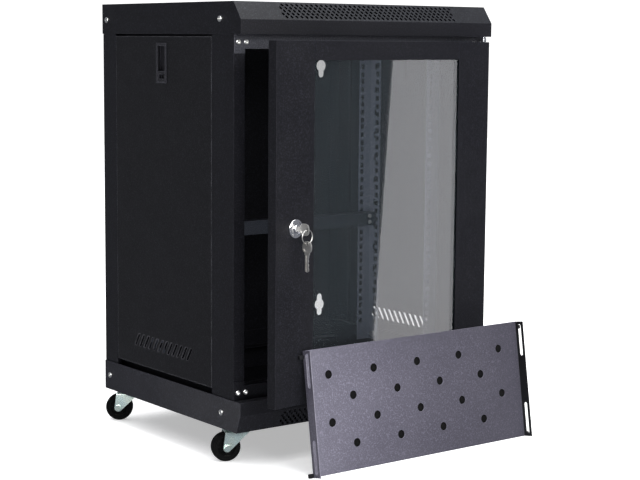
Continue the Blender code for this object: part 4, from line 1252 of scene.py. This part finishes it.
def make_glare_card():
    """White card whose reflection fills the hinge side of the glass, seen by reflections only."""
    low, high = local_box("door_glass", DOOR)
    inset = window_inset()
    left, right = low.x + inset, high.x - inset
    bottom, top = low.z + inset, high.z - inset
    width = right - left
    normal = DOOR.to_3x3() @ Vector((0, -1, 0))
    on_glass = DOOR @ Vector((0, low.y, 0))
    mirrored = CAMERA_PLACE - 2 * (CAMERA_PLACE - on_glass).dot(normal) * normal
    corners = (
        (right - GLARE_TOP * width, top), (right - GLARE_BOTTOM * width, bottom),
        (right + 0.3 * width, bottom), (right + 0.3 * width, top),
    )
    builder = bmesh.new()
    points = []
    for x, z in corners:
        through = DOOR @ Vector((x, low.y, z))
        ray = (through - mirrored).normalized()
        points.append(builder.verts.new(through + ray * GLARE_DISTANCE))
    builder.faces.new(points)
    material = bpy.data.materials.new("glare_card")
    material.use_nodes = True
    tree = material.node_tree
    tree.nodes.clear()
    glow = node(tree, "ShaderNodeEmission", {"Color": (0.98, 0.965, 1.0, 1.0), "Strength": GLARE_LEVEL})
    node(tree, "ShaderNodeOutputMaterial", {"Surface": glow.outputs["Emission"]})
    card = finish_mesh("glare_card", builder, material)
    for kind in ("camera", "diffuse", "transmission", "shadow", "volume_scatter"):
        setattr(card, "visible_" + kind, False)
    light_only(card, [NODES["door_glass"]])
    card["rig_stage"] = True


def add_floor_wash(floor):
    """Very soft light straight down on the floor alone, which leaves a soft shadow."""
    data = bpy.data.lights.new("floor_wash", "SUN")
    data.energy, data.angle = FLOOR_WASH
    light_only(add_object("floor_wash", data), [floor])


def make_studio():
    make_camera()
    floor = make_floor()
    make_world()
    make_glare_card()
    add_floor_wash(floor)
    lights = {name: add_softbox(name, *settings) for name, settings in SOFTBOXES.items()}
    pieces = list(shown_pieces())
    light_only(lights["low_light"], [bpy.data.objects["base_tray_vented"]])
    light_only(lights["bay_light"], [obj for obj in pieces if obj.name.endswith("_rail_holed")])
    light_only(lights["metal_light"], [obj for obj in pieces if obj.get("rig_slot") in ("chrome", "zinc")])
    shelf = shelf_matrix()
    place, target, size, power = SHELF_LIGHT
    near_end = add_softbox("shelf_light", shelf @ Vector(place), shelf @ Vector(target), size, power)
    light_only(near_end, [NODES["rack_shelf"]])
    bpy.context.scene.view_settings.view_transform = "Standard"


# ---- assembly
def dress_cabinet(materials):
    replaced = set()
    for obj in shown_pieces():
        replaced.update(obj.get("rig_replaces", []))
    # The crossbar's lighter coat is painted light.
    finishes = {"rear_crossbar": "painted_light_crossbar_coat", "top_front_beam": "bright_coat"}
    for side_name in ("left", "right"):
        finishes[side_name + "_side_panel"] = "panel_coat"
        finishes[side_name + "_latch_housing"] = "latch_plastic"
        finishes[side_name + "_latch_slide"] = "latch_plastic"
    for name in NODES:
        if name not in replaced:
            dress(name, materials[finishes.get(name, SLOT_OF[name])])
    # Painted shade on the shelf's far flange.
    shade_far_flange(materials["painted_shade_coat"])


def main():
    materials = make_materials()
    steel = materials["screw_steel"]
    # The top cover's chamfer takes the lighter coat, painted light.
    vented_cap("top_cover", 1, materials["powder_coat"], materials["painted_light_slope_coat"])
    vented_cap("base_tray", -1, materials["powder_coat"], materials["powder_coat"])
    seamed_door(materials["powder_coat"])
    cabinet_screws(steel)
    rail_hardware(steel)
    # The rails' lighter coat is painted light.
    for rail_name in [name for name in NODES if name.endswith("_rail")]:
        holed_rail(rail_name, materials["inner_coat"])
    for corner in CORNERS:
        fork_piece(corner, materials["zinc"])
        swivel_race(corner, materials["zinc"])
        axle_piece(corner, materials["zinc"])
        wheel_piece(corner, materials["rubber"])
    plate_bolts(steel)
    lock_pieces(materials)
    hinge_pieces(materials)
    for side_name in ("left", "right"):
        latch_ribs(side_name, materials["black_plastic"])
    for template in HEX_TEMPLATES.values():
        bpy.data.objects.remove(template)
    shelf_pieces(materials)
    dress_cabinet(materials)
    make_studio()


main()
